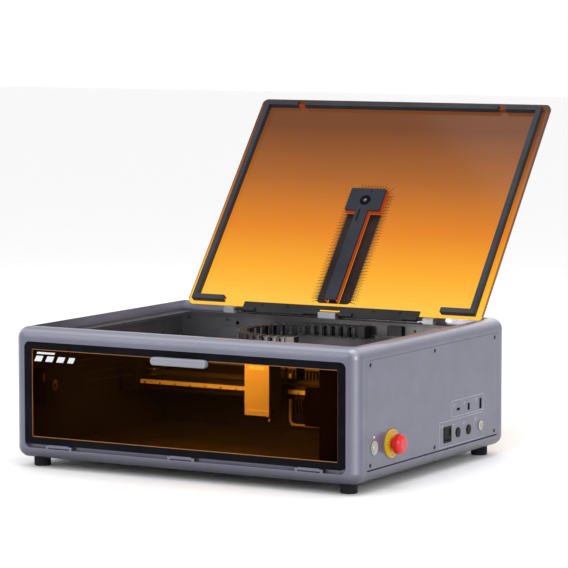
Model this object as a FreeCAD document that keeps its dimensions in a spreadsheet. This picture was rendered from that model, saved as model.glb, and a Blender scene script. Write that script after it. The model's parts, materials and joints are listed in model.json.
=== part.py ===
"""Desktop laser cutter: an enclosed gantry machine with a drop-down front door and a tinted lid.

Millimetres, +X right, +Y back, +Z up, z = 0 on the table. The lid is modelled wide open.
"""
import FreeCAD, Part
import Sketcher
import math
import os
import re

doc = FreeCAD.newDocument("laser_cutter")

# ---------------------------------------------------------------- driving sizes

SIZES = {
    # housing
    "housing_width": 567, "housing_depth": 468, "housing_height": 191, "foot_height": 14,
    "edge_radius": 16.5, "shell_wall": 3, "seam_gap": 0.5,
    "lower_seam_rise": 17.8, "upper_seam_drop": 19.9,
    "front_frame_depth": 27.4, "rear_frame_depth": 27, "panel_thickness": 2.5,
    "screw_radius": 1.5, "screw_head_radius": 3, "screw_head_depth": 1.6, "screw_length": 9,
    "screw_rise": 24.9, "screw_drop": 26.5, "screw_end_inset": 38, "lug_size": 12,
    "foot_radius": 12.25, "foot_inset_x": 28.8, "foot_inset_y": 29.8, "foot_bevel": 1.2,
    "rear_panel_width": 524, "rear_panel_height": 147, "rear_panel_rise": 21,
    "rear_flange": 7, "rear_flange_thickness": 8,
    # lid recess and seat
    "rim_width_side": 15.5, "rim_width_front": 23, "rim_width_rear": 20, "lid_recess": 13.9,
    "seat_thickness": 4, "seat_width_side": 28, "seat_width_front": 15, "seat_width_rear": 22,
    # front door
    "door_width": 530, "door_height": 149.2, "door_rise": 21.2, "door_thickness": 7.2,
    "door_gap": 0.5, "door_radius": 9, "door_border_side": 12, "door_border_end": 10.4,
    "door_sink": 0.3, "door_hinge_rise": 18, "door_hinge_inset": 2.5, "door_lip_rise": 15.5,
    "flange_thickness": 3.5, "flange_reach": 9, "pane_thickness": 3, "pane_lap": 4,
    "handle_width": 91.5, "handle_height": 13.5, "handle_depth": 13, "handle_drop": 8.6,
    "handle_radius": 5, "knuckle_width": 35, "knuckle_spacing": 207, "knuckle_radius": 2.2,
    "door_pin_radius": 1, "ear_width": 4, "pin_clearance": 0.05, "side_play": 0.4,
    # lid, in its own plane: along the lid from its hinge edge, and inwards from its outer face
    "lid_width": 514, "lid_length": 394.6, "lid_thickness": 4, "lid_radius": 9,
    "lid_open_angle": 128, "lid_hinge_drop": 7, "lid_hinge_setback": 8.9,
    "hinge_from_back": 36, "ridge_inset_side": 11, "ridge_inset_low": 3.5,
    "ridge_inset_high": 8.5, "ridge_height": 5, "ridge_skirt": 2, "gasket_width": 8,
    "gasket_height": 4.5,
    "gasket_hook": 57, "gasket_notch": 12.9, "gasket_notch_x": 172.4,
    "strip_width": 306, "strip_reach": 12, "strip_lap": 6, "strip_thickness": 2.5,
    "strip_notch": 36, "lid_knuckle_radius": 3.3, "lid_knuckle_length": 24,
    "lid_pin_radius": 2, "lid_pin_reach": 22, "hinge_block_width": 17.6,
    "hinge_block_mid_width": 30, "hinge_block_spacing": 173.5, "hinge_block_depth": 11,
    "camera_head_width": 61, "camera_head_length": 41, "camera_head_from_edge": 178,
    "camera_neck_width": 21, "camera_foot_from_edge": 13, "camera_cover_thickness": 3,
    "camera_height": 9, "camera_wall": 2, "lens_radius": 7, "lens_from_edge": 197,
    # work chamber
    "chamber_left": 260, "partition_right": 218, "chamber_back": 148, "sheet": 2,
    "plate_height": 7, "plate_skin": 2, "deck_rise": 136, "upper_wall_back": 197,
    "liner_left": 190, "liner_height": 19, "liner_depth": 4, "liner_radius": 10,
    "vent_left": 34, "vent_width": 100, "vent_rise": 24, "vent_height": 66,
    "vent_slot": 3.2, "vent_slots": 17,
    "louvre_y": 120, "louvre_length": 90, "louvre_rise": 62, "louvre_pitch": 9,
    # exhaust
    "fan_size": 92, "fan_depth": 25, "fan_x": 16, "fan_rise": 78, "fan_radius": 43,
    "fan_hub_radius": 18, "fan_blade_radius": 41.5, "fan_blades": 7, "fan_blade": 1.6,
    "collar_radius": 40, "collar_wall": 2, "collar_length": 28, "collar_flange": 8,
    # controls on the right side, from the middle of the side
    "stop_y": -134, "stop_rise": 48.3, "stop_ring_radius": 20, "stop_ring_depth": 2.5,
    "stop_head_radius": 14.3, "stop_head_depth": 12.5, "stop_stem_radius": 7,
    "stop_travel": 4, "stop_hole_radius": 11, "stop_block": 32,
    "power_y": -185, "power_rise": 48.5, "power_ring_radius": 9.75, "power_hole_radius": 8,
    "power_cap_radius": 6.4, "power_ring_depth": 1.2, "power_travel": 1.2,
    "lamp_rise": 63.2, "lamp_radius": 1.6,
    "key_y": 148.5, "key_rise": 38.8, "key_flange_radius": 7, "key_hole_radius": 6,
    "key_barrel_radius": 4.8, "key_depth": 22,
    "rocker_y": 41, "rocker_rise": 38.5, "rocker_width": 22.5, "rocker_height": 23,
    "rocker_wall": 2.6, "rocker_play": 0.4,
    "jack_y": 75.4, "jack_rise": 37.5, "jack_spacing": 34.5, "jack_radius": 5.5,
    "usb_c_y": 76, "oval_y": 110, "usb_a_y": 149, "port_rise": 71.5,
    # gantry
    "rail_size": 14, "rail_rise": 116, "rail_front": 200, "rail_back": 146,
    "gantry_y": 8, "beam_size": 20, "beam_rise": 78, "block_width": 26, "block_length": 40,
    "block_lip": 6, "bracket_length": 21, "bracket_width": 22,
    "bracket_rise": 77, "bracket_height": 55,
    "slide_play": 0.4, "guide_height": 8, "guide_depth": 6, "head_x": 13, "head_width": 42,
    "head_depth": 35, "head_gap": 7, "head_height": 80, "head_rise": 66, "carriage_width": 56,
    "nozzle_drop": 14, "nozzle_radius": 5, "nozzle_x": 11, "nozzle_y": -25, "motor_size": 35, "motor_length": 30,
    "shaft_radius": 2.5, "pulley_radius": 6, "pulley_flange": 8, "belt_width": 6,
    "belt_thickness": 1.4, "belt_gap": 0.05, "idler_y": -210, "drive_y": 128,
    "y_belt_inset": 28, "y_belt_rise": 106, "x_pulley_inset": 18, "belt_play": 1.5,
    # cable chain
    "chain_radius": 85.5, "chain_width": 15, "chain_height": 18.5, "chain_rise": 152,
    "chain_x": 7, "chain_near": 32, "chain_far": 58, "chain_near_y": 9, "chain_end": 12,
    "link_plate": 4,
    # electronics
    "board_y": 10, "board_width": 150, "board_height": 110, "board_rise": 31, "board_gap": 6,
    "board_thickness": 1.6, "sensor_x": 118.5, "sensor_width": 25, "sensor_height": 15,
}

tilt = 180 - SIZES["lid_open_angle"]
SLOPE = math.radians(tilt)
hinge_back = SIZES["housing_depth"] / 2 - SIZES["hinge_from_back"]
lid_reach = SIZES["lid_length"] + SIZES["lid_hinge_setback"]
lid_back = hinge_back + lid_reach * math.cos(SLOPE) + SIZES["lid_hinge_drop"] * math.sin(SLOPE)
door_front = -SIZES["housing_depth"] / 2 + SIZES["door_sink"] - SIZES["handle_depth"]
SIZES["frame_y"] = -round((lid_back + door_front) / 2, 2)
stop_reach = SIZES["stop_ring_depth"] + SIZES["stop_travel"] + 1 + SIZES["stop_head_depth"]
SIZES["frame_x"] = -stop_reach / 2

sheet = doc.addObject("Spreadsheet::Sheet", "Sizes")
for row, (alias, number) in enumerate(SIZES.items(), start=1):
    sheet.set(f"A{row}", alias)
    sheet.set(f"B{row}", str(number))
    sheet.setAlias(f"B{row}", alias)
doc.recompute()

# levels and planes that many pieces share
TOP = "(foot_height + housing_height)"
SIDE = "(housing_width / 2)"
END = "(housing_depth / 2)"
SEAT = f"({TOP} - lid_recess)"
LOW_SEAM = "(foot_height + lower_seam_rise)"
HIGH_SEAM = f"({TOP} - upper_seam_drop)"
FRONT_SEAM = f"(front_frame_depth - {END})"
REAR_SEAM = f"({END} - rear_frame_depth)"
RIM_X = f"({SIDE} - rim_width_side)"
RIM_FRONT = f"(rim_width_front - {END})"
RIM_REAR = f"({END} - rim_width_rear)"
PAN = "(foot_height + shell_wall)"
FLOOR = f"({PAN} + plate_height)"
DOOR_LOW = "(foot_height + door_rise)"
DOOR_HIGH = f"({DOOR_LOW} + door_height)"
DOOR_FACE = f"(door_sink - {END})"
DOOR_BACK = f"({DOOR_FACE} + door_thickness)"
FLANGE_FRONT = f"({DOOR_BACK} + door_gap)"
FLANGE_BACK = f"({FLANGE_FRONT} + flange_thickness)"
DOOR_AXIS_Y = f"(door_hinge_inset - {END})"
DOOR_AXIS_Z = "(foot_height + door_hinge_rise)"
HINGE_Y = f"({END} - hinge_from_back)"
HINGE_Z = f"({TOP} - lid_hinge_drop)"
DECK = "(foot_height + deck_rise)"
UNDER_SEAT = f"({SEAT} - seat_thickness)"
RAIL_Z = "(foot_height + rail_rise)"
BEAM_Z = "(foot_height + beam_rise)"
HEAD_Z = "(foot_height + head_rise)"
CHAIN_Z = "(foot_height + chain_rise)"
CHAIN_FAR_Y = "(chain_near_y + 2 * chain_radius)"

# ---------------------------------------------------------------- ways of making a piece


def bound(text):
    """The expression with each size's name read from the sheet."""
    return re.sub(r"[a-z][a-z_0-9]*", lambda m: "Sizes." + m[0] if m[0] in SIZES else m[0], text)


HOUSING = ("frame_x", "frame_y")
LID = ("0", "0")


def put(solid, x, y, z, middle=HOUSING):
    """Binds where a piece stands; x and y are counted from the housing's middle, or along the lid."""
    solid.setExpression(".Placement.Base.x", bound(f"{middle[0]} + {x}"))
    solid.setExpression(".Placement.Base.y", bound(f"{middle[1]} + {y}"))
    solid.setExpression(".Placement.Base.z", bound(z))
    return solid


def block(name, x, y, z, middle=HOUSING):
    """A box between two planes each way."""
    solid = doc.addObject("Part::Box", name)
    for side, (low, high) in zip(("Length", "Width", "Height"), (x, y, z)):
        solid.setExpression(side, bound(f"({high}) - ({low})"))
    return put(solid, x[0], y[0], z[0], middle)


TURNS = {"x": ((0, 1, 0), 90), "y": ((1, 0, 0), -90), "z": ((0, 0, 1), 0)}


def turn(solid, along):
    """Lays a piece that was made upright along x or y."""
    axis, angle = TURNS[along]
    solid.Placement = FreeCAD.Placement(FreeCAD.Vector(), FreeCAD.Rotation(FreeCAD.Vector(*axis), angle))
    return solid


def rod(name, radius, length, at, along="z", middle=HOUSING):
    """A round bar that starts at a point and runs along x, y or z."""
    solid = turn(doc.addObject("Part::Cylinder", name), along)
    solid.setExpression("Radius", bound(radius))
    solid.setExpression("Height", bound(length))
    return put(solid, *at, middle)


def joined(kind, name, pieces):
    """One shape of several: a MultiFuse, a MultiCommon or a Compound."""
    if len(pieces) == 1:
        return pieces[0]
    whole = doc.addObject("Part::" + kind, name)
    setattr(whole, "Links" if kind == "Compound" else "Shapes", pieces)
    return whole


def fuse(name, *pieces):
    return joined("MultiFuse", name, list(pieces))


def common(name, *pieces):
    return joined("MultiCommon", name, list(pieces))


def group(name, *pieces):
    return joined("Compound", name, list(pieces))


def cut(name, base, *tools):
    """The base without the tools."""
    rest = doc.addObject("Part::Cut", name)
    rest.Base = base
    rest.Tool = joined("Compound", name + "_tools", list(tools))
    return rest


PLANES = {"z": "XY_Plane", "y": "XZ_Plane", "x": "YZ_Plane"}


def new_sketch(body, plane):
    """An empty sketch on one of the body's own origin planes."""
    sketch = body.newObject("Sketcher::SketchObject", body.Name + "_sketch")
    face = [f for f in body.Origin.OriginFeatures if f.Role == plane][0]
    sketch.AttachmentSupport = [(face, "")]
    sketch.MapMode = "FlatFace"
    return sketch


def outline(sketch, points):
    """A closed outline whose corners are bound, each to a pair of expressions."""
    values = [[measured(u), measured(v)] for u, v in points]
    spots = [FreeCAD.Vector(u, v, 0) for u, v in values]
    for i, spot in enumerate(spots):
        sketch.addGeometry(Part.LineSegment(spot, spots[(i + 1) % len(spots)]), False)
    for i in range(len(spots)):
        sketch.addConstraint(Sketcher.Constraint("Coincident", i, 2, (i + 1) % len(spots), 1))
    for i, (corner, value) in enumerate(zip(points, values)):
        for kind, axis, text, number in zip(("DistanceX", "DistanceY"), (-2, -1), corner, value):
            if text == "0":
                sketch.addConstraint(Sketcher.Constraint("PointOnObject", i, 1, axis))
                continue
            index = sketch.addConstraint(Sketcher.Constraint(kind, i, 1, number))
            sketch.setExpression(f"Constraints[{index}]", bound(text))


def measured(text):
    """The number that an expression in the sheet's names comes to."""
    gauge = doc.getObject("Gauge") or doc.addObject("Part::Vertex", "Gauge")
    gauge.setExpression("X", bound(text))
    gauge.recompute()
    return gauge.X.Value


def padded_outline(name, points, depth, along="z", radius=None):
    """A body padded from an outline, with the edges that run along the pad rounded."""
    body = doc.addObject("PartDesign::Body", name)
    sketch = new_sketch(body, PLANES[along])
    outline(sketch, points)
    pad = body.newObject("PartDesign::Pad", name + "_pad")
    pad.Profile = sketch
    pad.setExpression("Length", bound(depth))
    pad.Reversed = along == "y"
    doc.recompute()
    if radius:
        way = {"x": 0, "y": 1, "z": 2}[along]
        edges = [
            f"Edge{i}" for i, edge in enumerate(pad.Shape.Edges, start=1)
            if abs(abs(edge.tangentAt(edge.FirstParameter)[way]) - 1) < 1e-6
        ]
        rounding = body.newObject("PartDesign::Fillet", name + "_rounding")
        rounding.Base = (pad, edges)
        rounding.setExpression("Radius", bound(radius))
        doc.recompute()
    return body


def rounded_block(name, x, y, z, radius, along, middle=HOUSING):
    """A body between two planes each way, with its four edges along one way rounded."""
    (width, depth) = {"z": (x, y), "y": (x, z), "x": (y, z)}[along]
    w, d = f"({width[1]}) - ({width[0]})", f"({depth[1]}) - ({depth[0]})"
    low, high = {"z": z, "y": y, "x": x}[along]
    points = [("0", "0"), (w, "0"), (w, d), ("0", d)]
    body = padded_outline(name, points, f"({high}) - ({low})", along, radius)
    return put(body, x[0], y[0], z[0], middle)


def turned(name, points, at, along="z", middle=HOUSING):
    """A body turned about its own axis from (radius, height) points."""
    body = doc.addObject("PartDesign::Body", name)
    sketch = new_sketch(body, "XZ_Plane")
    outline(sketch, points)
    revolved = body.newObject("PartDesign::Revolution", name + "_turned")
    revolved.Profile = sketch
    revolved.ReferenceAxis = (sketch, ["V_Axis"])
    revolved.Angle = 360
    doc.recompute()
    return put(turn(body, along), *at, middle)


def mid(centre, size):
    """The two planes of something of a size about a centre."""
    return (f"({centre}) - ({size}) / 2", f"({centre}) + ({size}) / 2")


def tilted(solid):
    """Places a piece made flat in the lid's own plane, where z is inwards, on the open lid."""
    back = SIZES["lid_hinge_setback"]
    drop = SIZES["lid_hinge_drop"]
    base = FreeCAD.Vector(
        SIZES["frame_x"],
        SIZES["frame_y"] + hinge_back + back * math.cos(SLOPE) + drop * math.sin(SLOPE),
        measured(HINGE_Z) + back * math.sin(SLOPE) - drop * math.cos(SLOPE),
    )
    solid.Placement = FreeCAD.Placement(base, FreeCAD.Rotation(FreeCAD.Vector(1, 0, 0), tilt))
    return solid


def on_side(side, low, high):
    """Two planes counted from the middle outwards, on the left (-1) or the right (1)."""
    return (low, high) if side > 0 else (f"-({high})", f"-({low})")


# ---------------------------------------------------------------- housing

def blank(name, wall):
    """The housing's outer form, or its inside when a wall is given."""
    body = doc.addObject("PartDesign::Body", name)
    sketch = new_sketch(body, "XY_Plane")
    w, d = f"housing_width - 2 * {wall}", f"housing_depth - 2 * {wall}"
    outline(sketch, [("0", "0"), (w, "0"), (w, d), ("0", d)])
    pad = body.newObject("PartDesign::Pad", name + "_pad")
    pad.Profile = sketch
    pad.setExpression("Length", bound(f"housing_height - 2 * {wall}"))
    doc.recompute()
    rounding = body.newObject("PartDesign::Fillet", name + "_rounding")
    rounding.Base = (pad, [f"Edge{i}" for i in range(1, len(pad.Shape.Edges) + 1)])
    rounding.setExpression("Radius", bound(f"edge_radius - {wall}"))
    doc.recompute()
    return put(body, f"{wall} - {SIDE}", f"{wall} - {END}", f"foot_height + {wall}")


WHOLE_X = (f"-{SIDE}", SIDE)
outer_form = blank("outer_form", "0")
inner_form = blank("inner_form", "shell_wall")


def lid_recess(name):
    """The shallow recess that the closed lid lies in."""
    return block(name, (f"-{RIM_X}", RIM_X), (RIM_FRONT, RIM_REAR), (UNDER_SEAT, f"{TOP} + 1"))


def door_ear(name, x):
    """One ear of the door's hinge, standing on the lip under the door."""
    foot = block(name + "_foot", mid(x, "ear_width"),
                 (f"{DOOR_AXIS_Y} - knuckle_radius", f"{DOOR_AXIS_Y} + knuckle_radius"),
                 ("foot_height + door_lip_rise - 1", DOOR_AXIS_Z))
    eye = rod(name + "_eye", "knuckle_radius", "ear_width",
              (f"{x} - ear_width / 2", DOOR_AXIS_Y, DOOR_AXIS_Z), "x")
    return [foot, eye]


door_ears = []
for i, side in enumerate((-1, 0, 1)):
    for j, end in enumerate((-1, 1)):
        place = f"{side} * knuckle_spacing + {end} * (knuckle_width / 2 + side_play + ear_width / 2)"
        door_ears += door_ear(f"door_ear_{i}{j}", place)

DOOR_HALF = "(door_width / 2 + door_gap)"
FLANGE_HALF = "(door_width / 2 - flange_reach)"
front_ring = cut(
    "front_ring",
    common("front_slice", outer_form, block("front_slab", WHOLE_X, (f"-{END}", FRONT_SEAM),
                                            ("foot_height", TOP))),
    rounded_block("door_recess", (f"-{DOOR_HALF}", DOOR_HALF), (f"-{END} - 1", FLANGE_FRONT),
                  ("foot_height + door_lip_rise", f"{DOOR_HIGH} + door_gap"), "door_radius", "y"),
    block("door_opening", (f"-{FLANGE_HALF}", FLANGE_HALF), (f"-{END}", FRONT_SEAM),
          (f"{DOOR_LOW} + flange_reach", f"{DOOR_HIGH} - flange_reach")),
    common("front_hollow", inner_form, block("front_hollow_slab", WHOLE_X, (FLANGE_BACK, FRONT_SEAM),
                                             ("foot_height", HIGH_SEAM))),
    lid_recess("front_lid_recess"),
)
PIN_LENGTH = "(knuckle_width + 2 * side_play + 2 * ear_width)"


def door_pins(name, radius):
    """A rod along each of the door's three hinges, as long as its pin."""
    return [rod(f"{name}_{i}", radius, PIN_LENGTH,
                (f"{side} * knuckle_spacing - {PIN_LENGTH} / 2", DOOR_AXIS_Y, DOOR_AXIS_Z), "x")
            for i, side in enumerate((-1, 0, 1))]


front_frame = cut(
    "front_frame", fuse("front_ring_with_ears", front_ring, *door_ears),
    *door_pins("door_ear_bore", "door_pin_radius"),
)

PANEL_HALF_X = "(rear_panel_width / 2)"
PANEL_LOW = "(foot_height + rear_panel_rise)"
PANEL_HIGH = f"({PANEL_LOW} + rear_panel_height)"
rear_frame_solid = cut(
    "rear_ring",
    common("rear_slice", outer_form, block("rear_slab", WHOLE_X, (REAR_SEAM, END), ("foot_height", TOP))),
    block("rear_rabbet", (f"-{PANEL_HALF_X}", PANEL_HALF_X), (f"{END} - panel_thickness", f"{END} + 1"),
          (PANEL_LOW, PANEL_HIGH)),
    block("rear_opening", (f"rear_flange - {PANEL_HALF_X}", f"{PANEL_HALF_X} - rear_flange"),
          (REAR_SEAM, END), (f"{PANEL_LOW} + rear_flange", f"{PANEL_HIGH} - rear_flange")),
    common("rear_hollow", inner_form,
           block("rear_hollow_slab", WHOLE_X, (REAR_SEAM, f"{END} - rear_flange_thickness"),
                 ("foot_height", HIGH_SEAM))),
    lid_recess("rear_lid_recess"),
)


def screw(name, x, y, z, along, way, play="0"):
    """A flat-headed screw, its head flush with the face it holds; with play, the hole for it."""
    whole = "(screw_head_depth + screw_length)"
    spot = {"x": x, "y": y}[along]
    head = f"{spot} - screw_head_depth" if way > 0 else spot
    shank = f"{spot} - {whole}" if way > 0 else spot
    at = {"x": lambda start: (start, y, z), "y": lambda start: (x, start, z)}[along]
    return fuse(
        name,
        rod(name + "_head", f"screw_head_radius + {play}", "screw_head_depth", at(head), along),
        rod(name + "_shank", f"screw_radius + {play}", whole, at(shank), along),
    )


SCREW_LOW = "(foot_height + screw_rise)"
SCREW_HIGH = f"({TOP} - screw_drop)"
SCREW_YS = (f"(screw_end_inset - {END})", "0", f"({END} - screw_end_inset)")


def side_screws(name, side, z, play="0"):
    """The three screws of one edge of a side panel."""
    face = SIDE if side > 0 else f"-{SIDE}"
    return [screw(f"{name}_{i}", face, y, z, "x", side, play) for i, y in enumerate(SCREW_YS)]


def lugs(name, side, z):
    """The three lugs that one edge of a side panel is screwed to."""
    x = on_side(side, f"{SIDE} - panel_thickness - lug_size", f"{SIDE} - panel_thickness")
    return [block(f"{name}_{i}", x, mid(y, "lug_size"), z) for i, y in enumerate(SCREW_YS)]


SIDES = (("left", -1), ("right", 1))
SIDE_LENGTH = (FRONT_SEAM, REAR_SEAM)
upper_rails = []
for word, side in SIDES:
    outside = block(f"{word}_rim", on_side(side, RIM_X, SIDE), SIDE_LENGTH, (HIGH_SEAM, TOP))
    inside = block(f"{word}_rim_room", on_side(side, f"{RIM_X} + shell_wall", SIDE), SIDE_LENGTH,
                   (HIGH_SEAM, TOP))
    rim = cut(f"{word}_rim_shell", common(f"{word}_rim_form", outer_form, outside),
              common(f"{word}_rim_hollow", inner_form, inside))
    upper = lugs(f"{word}_upper_lug", side, (f"{SCREW_HIGH} - lug_size / 2", f"{HIGH_SEAM} + lug_size / 2"))
    upper_rails.append(cut(f"{word}_upper_rail", fuse(f"{word}_rim_lugs", rim, *upper),
                           *side_screws(f"{word}_upper_tap", side, SCREW_HIGH)))

pan_zone = block("pan_zone", WHOLE_X, SIDE_LENGTH, ("foot_height", LOW_SEAM))
pan_shell = cut("pan_shell", common("pan_form", outer_form, pan_zone),
                common("pan_hollow", inner_form, pan_zone))
pan_lugs = []
pan_taps = []
for word, side in SIDES:
    pan_lugs += lugs(f"{word}_lower_lug", side,
                     (f"{LOW_SEAM} - lug_size / 2", f"{SCREW_LOW} + lug_size / 2"))
    pan_taps += side_screws(f"{word}_lower_tap", side, SCREW_LOW)
base_pan = cut("base_pan", fuse("pan_with_lugs", pan_shell, *pan_lugs), *pan_taps)

foot_points = [("0", "0"), ("foot_radius - foot_bevel", "0"), ("foot_radius", "foot_bevel"),
               ("foot_radius", "foot_height"), ("0", "foot_height")]
feet = group("feet", *[
    turned(f"foot_{i}{j}", foot_points,
           (f"{i} * ({SIDE} - foot_inset_x)", f"{j} * ({END} - foot_inset_y)", "0"))
    for i in (-1, 1) for j in (-1, 1)
])

lid_seat_ring = cut(
    "lid_seat_ring",
    block("seat_plate", (f"-{RIM_X}", RIM_X), (RIM_FRONT, RIM_REAR), (UNDER_SEAT, SEAT)),
    block("seat_opening", (f"seat_width_side - {RIM_X}", "partition_right"),
          (f"{RIM_FRONT} + seat_width_front", f"{RIM_REAR} - seat_width_rear"), (PAN, TOP)),
)

# ---------------------------------------------------------------- controls on the right side

STOP_Z = "(foot_height + stop_rise)"
POWER_Z = "(foot_height + power_rise)"
KEY_Z = "(foot_height + key_rise)"
ROCKER_Z = "(foot_height + rocker_rise)"
JACK_Z = "(foot_height + jack_rise)"
PORT_Z = "(foot_height + port_rise)"
SKIN = f"({SIDE} - panel_thickness)"


def panel_slot(name, y, z, width, height):
    """A rectangular hole through the right side panel."""
    return block(name, (f"{SKIN} - 1", f"{SIDE} + 1"), mid(y, width), mid(z, height))


def panel_hole(name, y, z, radius):
    """A round hole through the right side panel."""
    return rod(name, radius, "panel_thickness + 2", (f"{SKIN} - 1", y, z), "x")


def side_panel(word, side, *holes):
    """A flat side panel with its screw holes and any others."""
    panel = block(
        f"{word}_side_sheet", on_side(side, SKIN, SIDE),
        (f"{FRONT_SEAM} + seam_gap", f"{REAR_SEAM} - seam_gap"),
        (f"{LOW_SEAM} + seam_gap", f"{HIGH_SEAM} - seam_gap"),
    )
    screws = [s for z, edge in ((SCREW_LOW, "low"), (SCREW_HIGH, "high"))
              for s in side_screws(f"{word}_panel_hole_{edge}", side, z, "side_play / 2")]
    return cut(f"{word}_side_panel", panel, *screws, *holes)


LOUVRES = 9
louvres = [block(f"louvre_{i}", on_side(-1, f"{SKIN} - 1", f"{SIDE} + 1"), mid("louvre_y", "louvre_length"),
                 mid(f"foot_height + louvre_rise + {i} * louvre_pitch", "vent_slot"))
           for i in range(LOUVRES)]
left_side_panel = side_panel("left", -1, *louvres)
USB_C = ("9.4", "4")
OVAL = ("6.4", "10.4")
USB_A = ("7", "15.5")
right_side_panel = side_panel(
    "right", 1,
    panel_hole("stop_hole", "stop_y", STOP_Z, "stop_hole_radius"),
    panel_hole("power_hole", "power_y", POWER_Z, "power_hole_radius"),
    panel_hole("lamp_hole", "power_y", "foot_height + lamp_rise", "lamp_radius"),
    panel_hole("key_hole", "key_y", KEY_Z, "key_hole_radius"),
    panel_hole("jack_hole_0", "jack_y", JACK_Z, "jack_radius"),
    panel_hole("jack_hole_1", "jack_y + jack_spacing", JACK_Z, "jack_radius"),
    panel_slot("rocker_slot", "rocker_y", ROCKER_Z, "rocker_width - 2", "rocker_height - 2"),
    panel_slot("usb_c_slot", "usb_c_y", PORT_Z, *USB_C),
    panel_slot("oval_slot", "oval_y", PORT_Z, *OVAL),
    panel_slot("usb_a_slot", "usb_a_y", PORT_Z, *USB_A),
)

e_stop_base = cut(
    "e_stop_base",
    fuse("e_stop_base_form",
         rod("stop_ring", "stop_ring_radius", "stop_ring_depth", (SIDE, "stop_y", STOP_Z), "x"),
         rod("stop_barrel", "stop_hole_radius", "stop_block / 2", (f"{SIDE} - stop_block / 2", "stop_y", STOP_Z), "x"),
         block("stop_contacts", (f"{SIDE} - 1.25 * stop_block", f"{SIDE} - stop_block / 2"),
               mid("stop_y", "stop_block"), mid(STOP_Z, "stop_block"))),
    rod("stop_bore", "stop_stem_radius + pin_clearance", "stop_block",
        (f"{SIDE} + stop_ring_depth - stop_block", "stop_y", STOP_Z), "x"),
)
STEM = "(stop_block - stop_travel - 2)"
NECK = f"({STEM} + stop_travel + 1)"
e_stop_button = turned(
    "e_stop_button",
    [("0", "0"), ("stop_stem_radius", "0"), ("stop_stem_radius", NECK),
     ("stop_head_radius - 2", NECK), ("stop_head_radius", f"{NECK} + 2"),
     ("stop_head_radius", f"{NECK} + stop_head_depth - 4"),
     ("stop_head_radius - 2.5", f"{NECK} + stop_head_depth - 1"),
     ("stop_head_radius - 6", f"{NECK} + stop_head_depth"), ("0", f"{NECK} + stop_head_depth")],
    (f"{SIDE} + stop_ring_depth - {STEM}", "stop_y", STOP_Z), "x",
)


def socket_cup(name, y, z, bore, hole, flange, rim, depth):
    """A round housing in a panel hole: a cup with a flange that sits on the panel."""
    return turned(name, [("0", "0"), (hole, "0"), (hole, depth), (flange, depth),
                         (flange, f"{depth} + {rim}"), (bore, f"{depth} + {rim}"),
                         (bore, "shell_wall"), ("0", "shell_wall")],
                  (f"{SIDE} - {depth}", y, z), "x")


power_button_ring = socket_cup("power_button_ring", "power_y", POWER_Z, "power_cap_radius + pin_clearance",
                               "power_hole_radius", "power_ring_radius", "power_ring_depth", "key_depth")
CAP = "(key_depth - 3 * shell_wall)"
power_button_cap = turned(
    "power_button_cap",
    [("0", "0"), ("power_cap_radius", "0"), ("power_cap_radius", f"{CAP} + 2 * power_travel - 0.6"),
     ("power_cap_radius - 0.6", f"{CAP} + 2 * power_travel"), ("0", f"{CAP} + 2 * power_travel")],
    (f"{SIDE} - {CAP}", "power_y", POWER_Z), "x",
)
key_switch_body = socket_cup("key_switch_body", "key_y", KEY_Z, "key_barrel_radius + pin_clearance",
                             "key_hole_radius", "key_flange_radius", "1.5", "key_depth")
key_barrel = cut(
    "key_barrel",
    rod("key_plug", "key_barrel_radius", "key_depth - shell_wall - 0.3 + 1",
        (f"{SIDE} - key_depth + shell_wall + 0.3", "key_y", KEY_Z), "x"),
    block("key_slit", (f"{SIDE} - 8", f"{SIDE} + 2"), mid("key_y", "1.2"), mid(KEY_Z, "6")),
)
rocker_frame = cut(
    "rocker_frame",
    fuse("rocker_frame_form",
         block("rocker_bezel", (SIDE, f"{SIDE} + 1.2"), mid("rocker_y", "rocker_width"),
               mid(ROCKER_Z, "rocker_height")),
         block("rocker_case", (f"{SIDE} - 18", SIDE), mid("rocker_y", "rocker_width - 2"),
               mid(ROCKER_Z, "rocker_height - 2"))),
    block("rocker_room", (f"{SIDE} - 15", f"{SIDE} + 2"), mid("rocker_y", "rocker_width - 2 * rocker_wall"),
          mid(ROCKER_Z, "rocker_height - 2 * rocker_wall")),
)
ROCKER_HALF = "(rocker_height / 2 - rocker_wall - 1)"
ROCKER_TILT = 7
rocker_switch = padded_outline(
    "rocker_switch",
    [("-5", f"-{ROCKER_HALF}"), ("5", f"-{ROCKER_HALF}"), ("4", "0"), ("5", ROCKER_HALF), ("-5", ROCKER_HALF)],
    "rocker_width - 2 * rocker_wall - rocker_play", "y",
)
rocker_switch.Placement = FreeCAD.Placement(
    FreeCAD.Vector(), FreeCAD.Rotation(FreeCAD.Vector(0, 1, 0), -ROCKER_TILT))
put(rocker_switch, f"{SIDE} - 4", "rocker_y - (rocker_width - 2 * rocker_wall - rocker_play) / 2", ROCKER_Z)


def jack(name, y):
    """A round socket with a pin in the middle."""
    return turned(name, [("0", "0"), ("jack_radius", "0"), ("jack_radius", "16"),
                         ("jack_radius - 2", "16"), ("jack_radius - 2", "3"), ("1", "3"),
                         ("1", "14"), ("0", "14")], (f"{SIDE} - 15.5", y, JACK_Z), "x")


def port(name, y, width, height, wall, tongue):
    """A data socket: a metal shell with a tongue in it."""
    shell = block(name + "_shell", (f"{SIDE} - 14", f"{SIDE} + 0.2"), mid(y, width), mid(PORT_Z, height))
    room = block(name + "_room", (f"{SIDE} - 12", f"{SIDE} + 1"), mid(y, f"{width} - {wall}"),
                 mid(PORT_Z, f"{height} - {wall}"))
    blade = block(name + "_tongue", (f"{SIDE} - 13", f"{SIDE} - 1"), mid(y, tongue[0]), mid(PORT_Z, tongue[1]))
    return fuse(name, cut(name + "_cup", shell, room), blade)


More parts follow.
